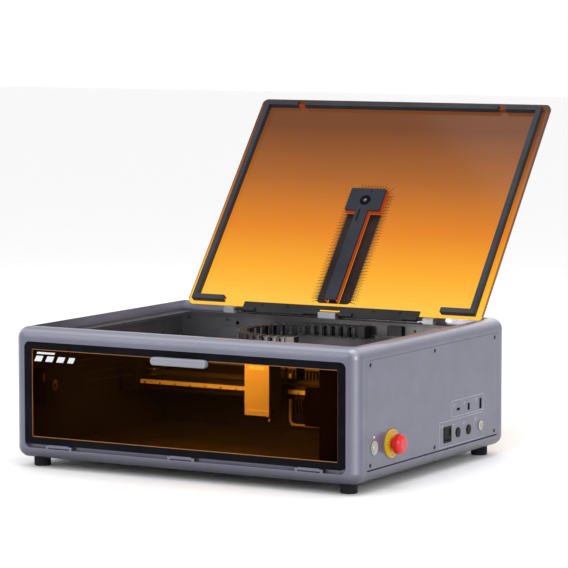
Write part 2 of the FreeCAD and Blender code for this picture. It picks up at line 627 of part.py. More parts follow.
port_sockets = group(
    "port_sockets", jack("jack_0", "jack_y"), jack("jack_1", "jack_y + jack_spacing"),
    port("usb_c", "usb_c_y", *USB_C, "1.2", ("6.6", "0.8")),
    port("oval", "oval_y", *OVAL, "1.2", ("1", "7")),
    port("usb_a", "usb_a_y", *USB_A, "1.4", ("1.8", "11")),
)

# ---------------------------------------------------------------- rear panel and exhaust

FAN_Z = "(foot_height + fan_rise)"
FAN_BACK = f"({END} - panel_thickness)"
REAR_SCREWS = [(f"{i} * ({PANEL_HALF_X} - rear_flange / 2)", z)
               for i in (-1, 1) for z in (f"{PANEL_LOW} + 3 * rear_flange", f"{PANEL_HIGH} - 3 * rear_flange")]
rear_panel = cut(
    "rear_panel",
    block("rear_sheet", (f"seam_gap - {PANEL_HALF_X}", f"{PANEL_HALF_X} - seam_gap"), (FAN_BACK, END),
          (f"{PANEL_LOW} + seam_gap", f"{PANEL_HIGH} - seam_gap")),
    rod("exhaust_hole", "collar_radius - collar_wall", "2 * panel_thickness", ("fan_x", FAN_BACK, FAN_Z), "y"),
    *[screw(f"rear_panel_hole_{i}", x, END, z, "y", 1, "side_play / 2")
      for i, (x, z) in enumerate(REAR_SCREWS)],
)
rear_frame = cut("rear_frame", rear_frame_solid,
                 *[screw(f"rear_tap_{i}", x, END, z, "y", 1) for i, (x, z) in enumerate(REAR_SCREWS)])
all_screws = [screw(f"rear_screw_{i}", x, END, z, "y", 1) for i, (x, z) in enumerate(REAR_SCREWS)]
for word, side in SIDES:
    all_screws += side_screws(f"{word}_low_screw", side, SCREW_LOW)
    all_screws += side_screws(f"{word}_high_screw", side, SCREW_HIGH)
panel_screws = group("panel_screws", *all_screws)

COLLAR_BORE = "(collar_radius - collar_wall)"
exhaust_collar = turned(
    "exhaust_collar",
    [(COLLAR_BORE, "0"), ("collar_radius + collar_flange", "0"), ("collar_radius + collar_flange", "2.5"),
     ("collar_radius", "2.5"), ("collar_radius", "collar_length"), (COLLAR_BORE, "collar_length")],
    ("fan_x", END, FAN_Z), "y",
)
fan_struts = [rod("fan_stator", "fan_hub_radius - 1", "5", ("fan_x", f"{FAN_BACK} - 5", FAN_Z), "y"),
              block("fan_strut_0", mid("fan_x", "fan_size - 4"), (f"{FAN_BACK} - 5", FAN_BACK), mid(FAN_Z, "5")),
              block("fan_strut_1", mid("fan_x", "5"), (f"{FAN_BACK} - 5", FAN_BACK), mid(FAN_Z, "fan_size - 4"))]
exhaust_fan_frame = cut(
    "exhaust_fan_frame",
    fuse("fan_frame_form",
         cut("fan_shroud",
             rounded_block("fan_square", mid("fan_x", "fan_size"), (f"{FAN_BACK} - fan_depth", FAN_BACK),
                           mid(FAN_Z, "fan_size"), "4", "y"),
             rod("fan_throat", "fan_radius", "fan_depth", ("fan_x", f"{FAN_BACK} - fan_depth", FAN_Z), "y")),
         *fan_struts),
    rod("fan_bearing", "shaft_radius + pin_clearance", "5", ("fan_x", f"{FAN_BACK} - 5", FAN_Z), "y"),
)


def fan_rotor():
    """The hub with its axle and the blades in a ring about it."""
    body = doc.addObject("PartDesign::Body", "exhaust_rotor")
    profile = new_sketch(body, "XZ_Plane")
    hub_depth = "(fan_depth - 8)"
    outline(profile, [("0", "0"), ("fan_hub_radius", "0"), ("fan_hub_radius", hub_depth),
                      ("shaft_radius", hub_depth), ("shaft_radius", f"{hub_depth} + 5"),
                      ("0", f"{hub_depth} + 5")])
    hub = body.newObject("PartDesign::Revolution", "rotor_hub")
    hub.Profile = profile
    hub.ReferenceAxis = (profile, ["V_Axis"])
    hub.Angle = 360
    doc.recompute()
    blade_sketch = body.newObject("Sketcher::SketchObject", "blade_sketch")
    face = [f for f in body.Origin.OriginFeatures if f.Role == "XY_Plane"][0]
    blade_sketch.AttachmentSupport = [(face, "")]
    blade_sketch.MapMode = "FlatFace"
    root, tip = "(fan_hub_radius - 1)", "fan_blade_radius"
    outline(blade_sketch, [(root, "-3"), (tip, "-7"), (tip, "fan_blade - 7"), (root, "fan_blade - 3")])
    blade = body.newObject("PartDesign::Pad", "rotor_blade")
    blade.Profile = blade_sketch
    blade.setExpression("Length", bound(f"{hub_depth} - 1"))
    doc.recompute()
    ring = body.newObject("PartDesign::PolarPattern", "rotor_blades")
    ring.Originals = [blade]
    ring.Axis = (blade_sketch, ["N_Axis"])
    ring.Angle = 360
    ring.setExpression("Occurrences", bound("fan_blades"))
    body.Tip = ring
    doc.recompute()
    return put(turn(body, "y"), "fan_x", f"{FAN_BACK} - fan_depth + 2", FAN_Z)


exhaust_rotor = fan_rotor()

# ---------------------------------------------------------------- work chamber

LEFT = "-chamber_left"
RIGHT = "partition_right"
CHAMBER_X = (LEFT, RIGHT)
plate_cells = []
for i in range(3):
    for j in range(2):
        cell_w = f"(({RIGHT} + chamber_left - 4 * plate_skin) / 3)"
        cell_d = f"((chamber_back - {FLANGE_BACK} - 3 * plate_skin) / 2)"
        x0 = f"({LEFT} + plate_skin + {i} * ({cell_w} + plate_skin))"
        y0 = f"({FLANGE_BACK} + plate_skin + {j} * ({cell_d} + plate_skin))"
        plate_cells.append(block(f"plate_cell_{i}{j}", (x0, f"{x0} + {cell_w}"), (y0, f"{y0} + {cell_d}"),
                                 (f"{PAN} - 1", f"{FLOOR} - plate_skin")))
work_plate = cut(
    "work_plate",
    common("plate_within", inner_form,
           block("plate_form", CHAMBER_X, (FLANGE_BACK, "chamber_back"), (PAN, FLOOR))),
    *plate_cells,
)



def within(name, *sheets):
    """Chamber sheets kept inside the housing's shell and under the front frame's top bar."""
    bar = block(name + "_bar", WHOLE_X, (f"-{END}", FRONT_SEAM), (HIGH_SEAM, TOP))
    return cut(name + "_trimmed", common(name + "_within", inner_form, fuse(name + "_sheets", *sheets)), bar)


BELT_Z = "(foot_height + y_belt_rise)"
SHAFT_BORE = "shaft_radius + pin_clearance"
WALL_Y = (FLANGE_BACK, "upper_wall_back + sheet")
chamber_left_wall = cut(
    "chamber_left_wall",
    fuse("left_wall_form",
         within("left_wall", block("left_wall_sheet", (f"{LEFT} - sheet", LEFT), WALL_Y, (PAN, UNDER_SEAT))),
         rod("shaft_boss", "pulley_flange", "6", (LEFT, "drive_y", BELT_Z), "x")),
    rod("left_shaft_bore", SHAFT_BORE, "12", (f"{LEFT} - 4", "drive_y", BELT_Z), "x"),
)
partition_wall = cut(
    "partition_wall",
    within("partition",
           block("partition_sheet", (RIGHT, f"{RIGHT} + sheet"), WALL_Y, (PAN, UNDER_SEAT)),
           block("front_cover", (RIGHT, DOOR_HALF), (FLANGE_BACK, f"{FLANGE_BACK} + sheet"),
                 (PAN, UNDER_SEAT))),
    rod("motor_hole", "pulley_flange", "12", (f"{RIGHT} - 4", "drive_y", BELT_Z), "x"),
)

vent_slots = []
VENT_SLOTS = int(SIZES["vent_slots"])
for i in range(VENT_SLOTS):
    centre = f"(({i} + 0.5) * vent_width / vent_slots - vent_left)"
    vent_slots.append(block(f"vent_slot_{i}", mid(centre, "vent_slot"),
                            ("chamber_back - 1", "chamber_back + sheet + 1"),
                            (f"{FLOOR} + vent_rise", f"{FLOOR} + vent_rise + vent_height")))
chamber_rear_wall = cut("chamber_rear_wall",
                        block("rear_wall_sheet", CHAMBER_X, ("chamber_back", "chamber_back + sheet"),
                              (PAN, DECK)), *vent_slots)
LINER_LOW = f"({DECK} + sheet)"
rear_wall_liner = cut(
    "rear_wall_liner",
    fuse("liner_form",
         block("rear_deck", CHAMBER_X, ("chamber_back", "upper_wall_back + sheet"), (DECK, LINER_LOW)),
         block("rear_upper_wall", CHAMBER_X, ("upper_wall_back", "upper_wall_back + sheet"),
               (DECK, UNDER_SEAT)),
         rounded_block("raised_liner", ("-liner_left", RIGHT),
                       ("upper_wall_back - liner_depth", "upper_wall_back"),
                       (f"{LINER_LOW} - liner_radius", f"{LINER_LOW} + liner_height"), "liner_radius", "y")),
    rod("cable_hole", "shell_wall", "20", ("30 - liner_left", "upper_wall_back - 10",
                                           f"{LINER_LOW} + liner_height + 5"), "y"),
    block("liner_under", CHAMBER_X, ("chamber_back", "upper_wall_back"), (f"{DECK} - 20", DECK)),
)

# ---------------------------------------------------------------- lid, flat in its own plane

LID_X = "(lid_width / 2)"
SEAL_X = f"({LID_X} - ridge_inset_side)"
SEAL_END = "(lid_length - ridge_inset_high)"
RIDGE_N = ("lid_thickness", "lid_thickness + ridge_height")
GASKET_N = ("lid_thickness", "lid_thickness + ridge_height + gasket_height")


def lid_block(name, x, t, n):
    return block(name, x, t, n, LID)


def seal_path(name, n, trim, notched):
    """Bars along the seal's path: two sides, a top, and a short hook at each lower corner."""
    low, high = f"ridge_inset_low + {trim}", f"{SEAL_END} - {trim}"
    outer, inner = f"{SEAL_X} - {trim}", f"{SEAL_X} - gasket_width + {trim}"
    top = (f"{SEAL_END} - gasket_width + {trim}", high)
    foot = (low, f"ridge_inset_low + gasket_width - {trim}")
    notch = "gasket_notch_x"
    bars = []
    for word, side in SIDES:
        bars.append(lid_block(f"{name}_{word}", on_side(side, inner, outer), (low, high), n))
        bars.append(lid_block(f"{name}_{word}_hook", on_side(side, f"{SEAL_X} - gasket_hook", outer), foot, n))
        start = f"{notch} + gasket_notch" if notched else "0"
        bars.append(lid_block(f"{name}_{word}_top", on_side(side, start, outer), top, n))
    if notched:
        bars.append(lid_block(f"{name}_top", (f"-{notch}", notch), top, n))
    return bars


HEAD_T = ("camera_head_from_edge", "camera_head_from_edge + camera_head_length")
WALL_N = ("lid_thickness", "lid_thickness + camera_height")
COVER_N = (WALL_N[1], f"{WALL_N[1]} + camera_cover_thickness")
camera_box = cut(
    "camera_box",
    fuse("camera_box_form",
         lid_block("camera_head_box", mid("0", "camera_head_width"), HEAD_T, WALL_N),
         lid_block("camera_neck_box", mid("0", "camera_neck_width"),
                   ("camera_foot_from_edge", "camera_head_from_edge + 1"), WALL_N)),
    lid_block("camera_head_room", mid("0", "camera_head_width - 2 * camera_wall"),
              (f"{HEAD_T[0]} + camera_wall", f"{HEAD_T[1]} - camera_wall"), WALL_N),
    lid_block("camera_neck_room", mid("0", "camera_neck_width - 2 * camera_wall"),
              ("camera_foot_from_edge - 1", f"{HEAD_T[0]} + camera_wall"), WALL_N),
)
lid_panel = tilted(fuse(
    "lid_panel",
    rounded_block("lid_sheet", mid("0", "lid_width"), ("0", "lid_length"), ("0", "lid_thickness"),
                  "lid_radius", "z", LID),
    *seal_path("ridge", RIDGE_N, "ridge_skirt", False), camera_box,
))
lid_gasket = tilted(cut(
    "lid_gasket", fuse("gasket_form", *seal_path("gasket", GASKET_N, "0", True)),
    *seal_path("gasket_groove", RIDGE_N, "ridge_skirt", False),
))
camera_cover = tilted(cut(
    "camera_cover",
    fuse("camera_cover_form",
         rounded_block("camera_head_cover", mid("0", "camera_head_width"), HEAD_T, COVER_N, "2", "z", LID),
         lid_block("camera_neck_cover", mid("0", "camera_neck_width"),
                   ("camera_foot_from_edge", "camera_head_from_edge + 1"), COVER_N)),
    rod("lens_hole", "lens_radius", "20", ("0", "lens_from_edge", "lid_thickness"), "z", LID),
))
LENS_N = "(camera_height + camera_cover_thickness)"
camera_lens = tilted(cut(
    "camera_lens",
    rod("lens_barrel", "lens_radius", LENS_N, ("0", "lens_from_edge", "lid_thickness"), "z", LID),
    rod("lens_dish", "lens_radius - 2", "3", ("0", "lens_from_edge", f"lid_thickness + {LENS_N} - 2"), "z", LID),
))
STRIP_X = "(strip_width / 2)"
knuckle_starts = (f"-{STRIP_X}", "-strip_notch / 2 - lid_knuckle_length", "strip_notch / 2",
                  f"{STRIP_X} - lid_knuckle_length")
AXIS_T = "-lid_hinge_setback"
lid_hinge_strip = tilted(cut(
    "lid_hinge_strip",
    fuse("strip_form",
         lid_block("strip_leaf", (f"-{STRIP_X}", STRIP_X), ("-strip_reach", "strip_lap"),
                   ("lid_thickness", "lid_thickness + strip_thickness")),
         *[rod(f"lid_knuckle_{i}", "lid_knuckle_radius", "lid_knuckle_length",
               (x, AXIS_T, "lid_hinge_drop"), "x", LID) for i, x in enumerate(knuckle_starts)]),
    lid_block("strip_notch_room", mid("0", "strip_notch"), ("-strip_reach - 1", "0"), ("0", "20")),
    *[rod(f"lid_knuckle_bore_{i}", "lid_pin_radius + pin_clearance", "lid_knuckle_length",
          (x, AXIS_T, "lid_hinge_drop"), "x", LID) for i, x in enumerate(knuckle_starts)],
))
hinge_spots = (("-hinge_block_spacing", "hinge_block_width"), ("0", "hinge_block_mid_width"),
               ("hinge_block_spacing", "hinge_block_width"))
OUTER_PIN = "(hinge_block_spacing + hinge_block_width / 2)"
OUTER_PIN_LENGTH = f"({OUTER_PIN} - {STRIP_X} + lid_pin_reach)"
MID_PIN = "(strip_notch / 2 + lid_pin_reach)"


def lid_pins(name):
    """The lid's three hinge pins, or their holes."""
    spots = ((f"-{OUTER_PIN}", OUTER_PIN_LENGTH), (f"-{MID_PIN}", f"2 * {MID_PIN}"),
             (f"{OUTER_PIN} - {OUTER_PIN_LENGTH}", OUTER_PIN_LENGTH))
    return [rod(f"{name}_{i}", "lid_pin_radius", length, (x, HINGE_Y, HINGE_Z), "x")
            for i, (x, length) in enumerate(spots)]


lid_hinge_blocks = cut(
    "lid_hinge_blocks",
    group("hinge_block_forms",
          *[rounded_block(f"hinge_block_{i}", mid(x, width), mid(HINGE_Y, "hinge_block_depth"),
                          (SEAT, f"{HINGE_Z} + 3"), "1.5", "x") for i, (x, width) in enumerate(hinge_spots)]),
    *lid_pins("lid_pin_hole"),
)
hinge_pins = group("hinge_pins", *lid_pins("lid_pin"), *door_pins("door_pin", "door_pin_radius"))

# ---------------------------------------------------------------- front door

DOOR_X = "(door_width / 2)"
PANE_X = f"({DOOR_X} - door_border_side)"
PANE_Z = (f"{DOOR_LOW} + door_border_end", f"{DOOR_HIGH} - door_border_end")
PANE_FRONT = f"({DOOR_FACE} + 1.5)"
door_frame = cut(
    "door_frame",
    rounded_block("door_form", (f"-{DOOR_X}", DOOR_X), (DOOR_FACE, DOOR_BACK), (DOOR_LOW, DOOR_HIGH),
                  "door_radius", "y"),
    rounded_block("window_hole", (f"-{PANE_X}", PANE_X), (f"{DOOR_FACE} - 1", DOOR_BACK), PANE_Z, "2", "y"),
    block("pane_rebate", (f"-{PANE_X} - pane_lap", f"{PANE_X} + pane_lap"), (PANE_FRONT, DOOR_BACK),
          (f"{PANE_Z[0]} - pane_lap", f"{PANE_Z[1]} + pane_lap")),
)
door_window = block("door_window", (f"-{PANE_X} - pane_lap", f"{PANE_X} + pane_lap"),
                    (PANE_FRONT, f"{PANE_FRONT} + pane_thickness"),
                    (f"{PANE_Z[0]} - pane_lap", f"{PANE_Z[1]} + pane_lap"))
HANDLE_Z = (f"{DOOR_HIGH} - handle_drop - handle_height", f"{DOOR_HIGH} - handle_drop")
door_handle = fuse(
    "door_handle",
    rounded_block("handle_bar", mid("0", "handle_width"), (f"{DOOR_FACE} - handle_depth", DOOR_FACE),
                  HANDLE_Z, "handle_radius", "y"),
    block("handle_foot", mid("0", "handle_width - 2 * handle_radius"), (f"{DOOR_FACE} - 1", PANE_FRONT),
          (f"{HANDLE_Z[0]} + 1", f"{PANE_Z[1]} - 0.2")),
)
knuckle_parts = []
knuckle_bores = []
for i, side in enumerate((-1, 0, 1)):
    x = mid(f"{side} * knuckle_spacing", "knuckle_width")
    barrel = rod(f"door_barrel_{i}", "knuckle_radius", "knuckle_width", (x[0], DOOR_AXIS_Y, DOOR_AXIS_Z), "x")
    leaf = block(f"door_leaf_{i}", x, (f"{DOOR_AXIS_Y} - knuckle_radius", f"{DOOR_AXIS_Y} + knuckle_radius"),
                 (DOOR_AXIS_Z, DOOR_LOW))
    knuckle_parts.append(fuse(f"door_knuckle_{i}", barrel, leaf))
    knuckle_bores.append(rod(f"door_bore_{i}", "door_pin_radius + pin_clearance", "knuckle_width",
                             (x[0], DOOR_AXIS_Y, DOOR_AXIS_Z), "x"))
door_knuckles = cut("door_knuckles", group("door_knuckle_forms", *knuckle_parts), *knuckle_bores)

# ---------------------------------------------------------------- gantry

BEAM_TOP = f"({BEAM_Z} + beam_size)"
BEAM_BACK = "(gantry_y + beam_size)"
BEAM_MID = "(gantry_y + beam_size / 2)"
BLOCK_Y = mid(BEAM_MID, "block_length")
RAIL_TOP = f"({RAIL_Z} + rail_size)"
BLOCK_Z = (f"{BEAM_Z} - 2", f"{RAIL_TOP} + block_lip")


def near_wall(side, low, high):
    """Two planes counted inwards from the chamber's left or right wall."""
    return (f"{LEFT} + {low}", f"{LEFT} + {high}") if side < 0 else (f"{RIGHT} - ({high})", f"{RIGHT} - ({low})")


rails = []
end_blocks = []
brackets = []
for word, side in SIDES:
    rails.append(block(f"{word}_y_rail", near_wall(side, "0", "rail_size"), ("-rail_front", "rail_back"),
                       (RAIL_Z, RAIL_TOP)))
    body_x = near_wall(side, "rail_size + slide_play", "rail_size + slide_play + block_width")
    lip_x = near_wall(side, "2", "rail_size + slide_play + 1")
    belt_mid = near_wall(side, "y_belt_inset", "y_belt_inset")[0]
    end_blocks.append(cut(
        f"{word}_end_block",
        fuse(f"{word}_end_form", block(f"{word}_end_body", body_x, BLOCK_Y, BLOCK_Z),
             block(f"{word}_upper_lip", lip_x, BLOCK_Y, (f"{RAIL_TOP} + slide_play", BLOCK_Z[1])),
             block(f"{word}_lower_lip", lip_x, BLOCK_Y,
                   (f"{RAIL_Z} - block_lip", f"{RAIL_Z} - slide_play"))),
        block(f"{word}_belt_way", mid(belt_mid, "belt_width + 2 * belt_play"), ("-300", "300"),
              mid(BELT_Z, "2 * (pulley_radius + belt_thickness + belt_play)")),
    ))
    bracket_x = near_wall(side, "0", "bracket_width")
    brackets.append(fuse(
        f"{word}_bracket",
        block(f"{word}_bracket_plate", near_wall(side, "0", "y_belt_inset - belt_width / 2 - belt_play"),
              ("-rail_front - bracket_length", "-rail_front"),
              ("foot_height + bracket_rise", "foot_height + bracket_rise + bracket_height")),
        rod(f"{word}_axle", "shaft_radius", "belt_width + 2 * belt_play",
            (near_wall(side, "y_belt_inset - belt_width / 2 - belt_play",
                       "y_belt_inset + belt_width / 2 + belt_play")[0], "idler_y", BELT_Z), "x"),
    ))


def loop(name, ends, middle, along):
    """A flat belt round two pulleys: along y with level axles, or along x with upright ones."""
    inner = "(pulley_radius + belt_gap)"
    outer = f"({inner} + belt_thickness)"
    forms = []
    for word, radius, width in (("outer", outer, "belt_width"), ("inner", inner, "belt_width + 1")):
        face = mid(middle, width)
        if along == "y":
            run = block(f"{name}_{word}_run", face, ends, mid(BELT_Z, f"2 * {radius}"))
            spots = [(face[0], end, BELT_Z) for end in ends]
        else:
            run = block(f"{name}_{word}_run", ends, mid(BEAM_MID, f"2 * {radius}"), face)
            spots = [(end, BEAM_MID, face[0]) for end in ends]
        bends = [rod(f"{name}_{word}_bend_{i}", radius, width, spot, "x" if along == "y" else "z")
                 for i, spot in enumerate(spots)]
        forms.append(fuse(f"{name}_{word}", run, *bends))
    return cut(name, *forms)


BELT_XS = {word: near_wall(side, "y_belt_inset", "y_belt_inset")[0] for word, side in SIDES}
y_belts = group("y_belts", *[loop(f"{word}_y_belt", ("idler_y", "drive_y"), BELT_XS[word], "y")
                             for word in BELT_XS])
y_rails = group("y_rails", *rails)
idler_brackets = group("idler_brackets", *brackets)
gantry_end_blocks = group("gantry_end_blocks", *end_blocks)


def pulley_points(core, length):
    """Half the section of a flanged pulley with a core radius and a length."""
    return [(core, "0"), ("pulley_flange", "0"), ("pulley_flange", "1"), ("pulley_radius", "1"),
            ("pulley_radius", f"{length} - 1"), ("pulley_flange", f"{length} - 1"),
            ("pulley_flange", length), (core, length)]


PULLEY = "(belt_width + 2 * belt_play - 0.4)"
y_idlers = group("y_idlers", *[
    turned(f"{word}_y_idler", pulley_points(SHAFT_BORE, PULLEY), (f"{x} - {PULLEY} / 2", "idler_y", BELT_Z), "x")
    for word, x in BELT_XS.items()
])
y_drive_shaft = fuse(
    "y_drive_shaft",
    rod("drive_rod", "shaft_radius", f"{RIGHT} + chamber_left + 10", (f"{LEFT} - 1", "drive_y", BELT_Z), "x"),
    *[turned(f"{word}_y_pulley", pulley_points("shaft_radius - 1", PULLEY),
             (f"{x} - {PULLEY} / 2", "drive_y", BELT_Z), "x") for word, x in BELT_XS.items()],
)
MOTOR_X = f"({RIGHT} + sheet)"
y_motor = cut(
    "y_motor",
    rounded_block("y_motor_body", (MOTOR_X, f"{MOTOR_X} + motor_length"), mid("drive_y", "motor_size"),
                  mid(BELT_Z, "motor_size"), "4", "x"),
    rod("y_motor_bore", SHAFT_BORE, "20", (f"{MOTOR_X} - 1", "drive_y", BELT_Z), "x"),
)

BEAM_X = (near_wall(-1, "0", "rail_size + slide_play + block_width")[1],
          near_wall(1, "0", "rail_size + slide_play + block_width")[0])
DRIVE_X = f"({BEAM_X[1]} - x_pulley_inset)"
IDLE_X = f"({BEAM_X[0]} + x_pulley_inset)"
PULLEY_Z = f"({BEAM_TOP} + 1)"
gantry_beam = cut(
    "gantry_beam",
    fuse("beam_form", block("beam_bar", BEAM_X, ("gantry_y", BEAM_BACK), (BEAM_Z, BEAM_TOP)),
         rod("x_idler_pin", "shaft_radius", f"{PULLEY} + 2", (IDLE_X, BEAM_MID, BEAM_TOP))),
    rod("x_shaft_hole", "shaft_radius + 0.5", "beam_size + 2", (DRIVE_X, BEAM_MID, f"{BEAM_Z} - 1")),
    block("beam_bottom_slot", (f"{BEAM_X[0]} + 40", f"{BEAM_X[1]} - 40"), mid(BEAM_MID, "6"),
          (f"{BEAM_Z} - 1", f"{BEAM_Z} + 5")),
)
GUIDE_Z = mid(f"{BEAM_Z} + beam_size / 2", "guide_height")
linear_rail = block("linear_rail", (f"{BEAM_X[0]} + 4", f"{BEAM_X[1]} - 4"), ("gantry_y - guide_depth", "gantry_y"),
                    GUIDE_Z)
x_motor = cut(
    "x_motor",
    rounded_block("x_motor_body", mid(DRIVE_X, "motor_size"), mid(BEAM_MID, "motor_size"),
                  (f"{BEAM_Z} - motor_length", BEAM_Z), "4", "z"),
    rod("x_motor_bore", SHAFT_BORE, "8", (DRIVE_X, BEAM_MID, f"{BEAM_Z} - 7")),
)
x_idler = turned("x_idler", pulley_points(SHAFT_BORE, PULLEY), (IDLE_X, BEAM_MID, PULLEY_Z))
x_drive_pulley = fuse(
    "x_drive_pulley",
    rod("x_drive_rod", "shaft_radius", f"beam_size + 6 + {PULLEY}", (DRIVE_X, BEAM_MID, f"{BEAM_Z} - 5")),
    turned("x_drive_wheel", pulley_points("shaft_radius - 1", PULLEY), (DRIVE_X, BEAM_MID, PULLEY_Z)),
)
X_BELT_Z = f"({PULLEY_Z} + {PULLEY} / 2)"
x_belt = loop("x_belt", (IDLE_X, DRIVE_X), X_BELT_Z, "x")

# ---------------------------------------------------------------- laser head on its carriage

GUIDE_FRONT = "(gantry_y - guide_depth)"
MODULE_BACK = f"({GUIDE_FRONT} - head_gap)"
MODULE_Y = (f"{MODULE_BACK} - head_depth", MODULE_BACK)
carriage = cut(
    "carriage",
    fuse("carriage_form",
         block("carriage_body", mid("head_x", "carriage_width"), (MODULE_BACK, "gantry_y - slide_play"),
               (f"{BEAM_Z} + 1", f"{BEAM_TOP} + 4")),
         block("belt_arm", mid("head_x", "12"),
               (MODULE_BACK, f"{BEAM_MID} - pulley_radius - belt_gap - belt_thickness - slide_play"),
               (f"{BEAM_TOP} + slide_play", f"{X_BELT_Z} + belt_width / 2"))),
    block("guide_way", CHAMBER_X, (f"{GUIDE_FRONT} - slide_play", "gantry_y"),
          (f"{GUIDE_Z[0]} - slide_play", f"{GUIDE_Z[1]} + slide_play")),
)
FINS = 5
fin_gaps = [block(f"fin_gap_{word}_{i}", mid(f"head_x + {side} * head_width / 2", "6"),
                  mid(f"{MODULE_BACK} - 7 - {i} * 5", "2.6"), (f"{HEAD_Z} + 26", f"{HEAD_Z} + head_height - 6"))
            for word, side in SIDES for i in range(FINS)]
laser_housing = cut(
    "laser_housing",
    rounded_block("laser_block", mid("head_x", "head_width"), (f"{MODULE_BACK} - head_depth", MODULE_BACK),
                  (HEAD_Z, f"{HEAD_Z} + head_height"), "1.5", "z"),
    *fin_gaps,
)
nozzle = turned(
    "nozzle",
    [("1.2", "0"), ("nozzle_radius - 2.5", "0"), ("nozzle_radius", "nozzle_drop / 3"),
     ("nozzle_radius", "nozzle_drop"), ("1.2", "nozzle_drop")],
    ("head_x + nozzle_x", "nozzle_y", f"{HEAD_Z} - nozzle_drop"),
)

# ---------------------------------------------------------------- cable chain and its ends

CHAIN_TOP = f"({CHAIN_Z} + chain_height)"
NEAR_Y = mid("chain_near_y", "chain_width")
FAR_Y = mid(CHAIN_FAR_Y, "chain_width")
CHAIN_LEVEL = (CHAIN_Z, CHAIN_TOP)
NEAR_END = "(chain_x + chain_near)"
FAR_END = "(chain_x + chain_far)"
BEND_Y = "(chain_near_y + chain_radius)"
chain_bend = cut(
    "chain_bend",
    rod("chain_bend_outer", "chain_radius + chain_width / 2", "chain_height", ("chain_x", BEND_Y, CHAIN_Z)),
    rod("chain_bend_inner", "chain_radius - chain_width / 2", "chain_height", ("chain_x", BEND_Y, CHAIN_Z)),
    block("chain_bend_half", ("chain_x", "chain_x + 2 * chain_radius"),
          mid(BEND_Y, "3 * chain_radius"), (f"{CHAIN_Z} - 1", f"{CHAIN_TOP} + 1")),
)
cable_chain = fuse(
    "cable_chain", chain_bend,
    block("chain_near_run", ("chain_x", f"{NEAR_END} - pin_clearance"), NEAR_Y, CHAIN_LEVEL),
    block("chain_far_run", ("chain_x", f"{FAR_END} - pin_clearance"), FAR_Y, CHAIN_LEVEL),
)
POST_Y = (f"{BEAM_BACK} + 2", f"{BEAM_BACK} + 2 + link_plate")
BRACKET_X = (NEAR_END, f"{NEAR_END} + chain_end")
chain_bracket = fuse(
    "chain_bracket",
    block("bracket_head", BRACKET_X, NEAR_Y, CHAIN_LEVEL),
    block("bracket_arm", BRACKET_X, (NEAR_Y[0], POST_Y[1]), (CHAIN_Z, f"{CHAIN_Z} + link_plate")),
    block("bracket_post", BRACKET_X, POST_Y, (f"{BEAM_Z} + link_plate", f"{CHAIN_Z} + link_plate")),
    block("bracket_foot", BRACKET_X, (BEAM_BACK, POST_Y[0]), (f"{BEAM_Z} + link_plate", f"{BEAM_TOP} - 2")),
)
chain_anchor = block("chain_anchor", (FAR_END, f"{FAR_END} + chain_end"),
                     (FAR_Y[0], "upper_wall_back - liner_depth"), CHAIN_LEVEL)

# ---------------------------------------------------------------- electronics

BOARD_X = (f"{MOTOR_X} + board_gap", f"{MOTOR_X} + board_gap + board_thickness")
BOARD_FACE = BOARD_X[1]
BOARD_Z = (f"foot_height + board_rise", f"foot_height + board_rise + board_height")
standoffs = [rod(f"standoff_{i}{j}", "3", "board_gap + 0.5",
                 (MOTOR_X, f"board_y + {i} * (board_width / 2 - 6)",
                  f"foot_height + board_rise + board_height / 2 + {j} * (board_height / 2 - 6)"), "x")
             for i in (-1, 1) for j in (-1, 1)]


def chip(name, y, rise, width, height, depth):
    """A component on the board's outer face, by its middle and its height over the board's foot."""
    return block(name, (f"{BOARD_FACE} - 0.5", f"{BOARD_FACE} + {depth}"), mid(f"board_y + ({y})", width),
                 mid(f"{BOARD_Z[0]} + {rise}", height))


mainboard = fuse(
    "mainboard",
    block("board_sheet", BOARD_X, mid("board_y", "board_width"), BOARD_Z), *standoffs,
    chip("processor", "-10", "62", "24", "24", "2.4"), chip("driver_0", "-48", "84", "14", "18", "9"),
    chip("driver_1", "-28", "84", "14", "18", "9"), chip("power_choke", "44", "28", "20", "20", "12"),
    chip("terminal_row", "20", "98", "80", "9", "10"), chip("plug_row", "-30", "12", "50", "9", "8"),
    chip("memory", "26", "58", "16", "10", "1.8"),
)
lid_sensor = block("lid_sensor", mid("sensor_x", "sensor_width"), ("upper_wall_back - 7", "upper_wall_back"),
                   (f"{UNDER_SEAT} - 0.6 - sensor_height", f"{UNDER_SEAT} - 0.6"))

# ---------------------------------------------------------------- checks and files

NODES = [
    front_frame, rear_frame, *upper_rails, base_pan, feet, lid_seat_ring, left_side_panel,
    right_side_panel, rear_panel, panel_screws, e_stop_base, e_stop_button, power_button_ring,
    power_button_cap, key_switch_body, key_barrel, rocker_frame, rocker_switch, port_sockets,
    exhaust_collar, exhaust_fan_frame, exhaust_rotor, work_plate, chamber_left_wall, partition_wall,
    chamber_rear_wall, rear_wall_liner, lid_panel, lid_gasket, lid_hinge_strip, lid_hinge_blocks,
    hinge_pins, camera_cover, camera_lens, lid_sensor, door_frame, door_window, door_handle,
    door_knuckles, y_rails, idler_brackets, y_idlers, y_drive_shaft, y_motor, y_belts,
    gantry_end_blocks, gantry_beam, linear_rail, x_motor, x_drive_pulley, x_idler, x_belt,
    chain_bracket, chain_anchor, cable_chain, carriage, laser_housing, nozzle, mainboard,
]
doc.recompute()
for thing in doc.Objects:
    if {"Invalid", "Error"} & set(thing.State):
        raise RuntimeError(f"{thing.Name} did not compute")
for node in NODES:
    if node.Shape.isNull() or not node.Shape.isValid():
        raise RuntimeError(f"{node.Name} has no valid shape")
    if node.Label != node.Name:
        raise RuntimeError(f"{node.Name} was renamed")
os.makedirs("parts", exist_ok=True)
for node in NODES:
    node.Shape.exportStep(f"parts/{node.Name}.step")
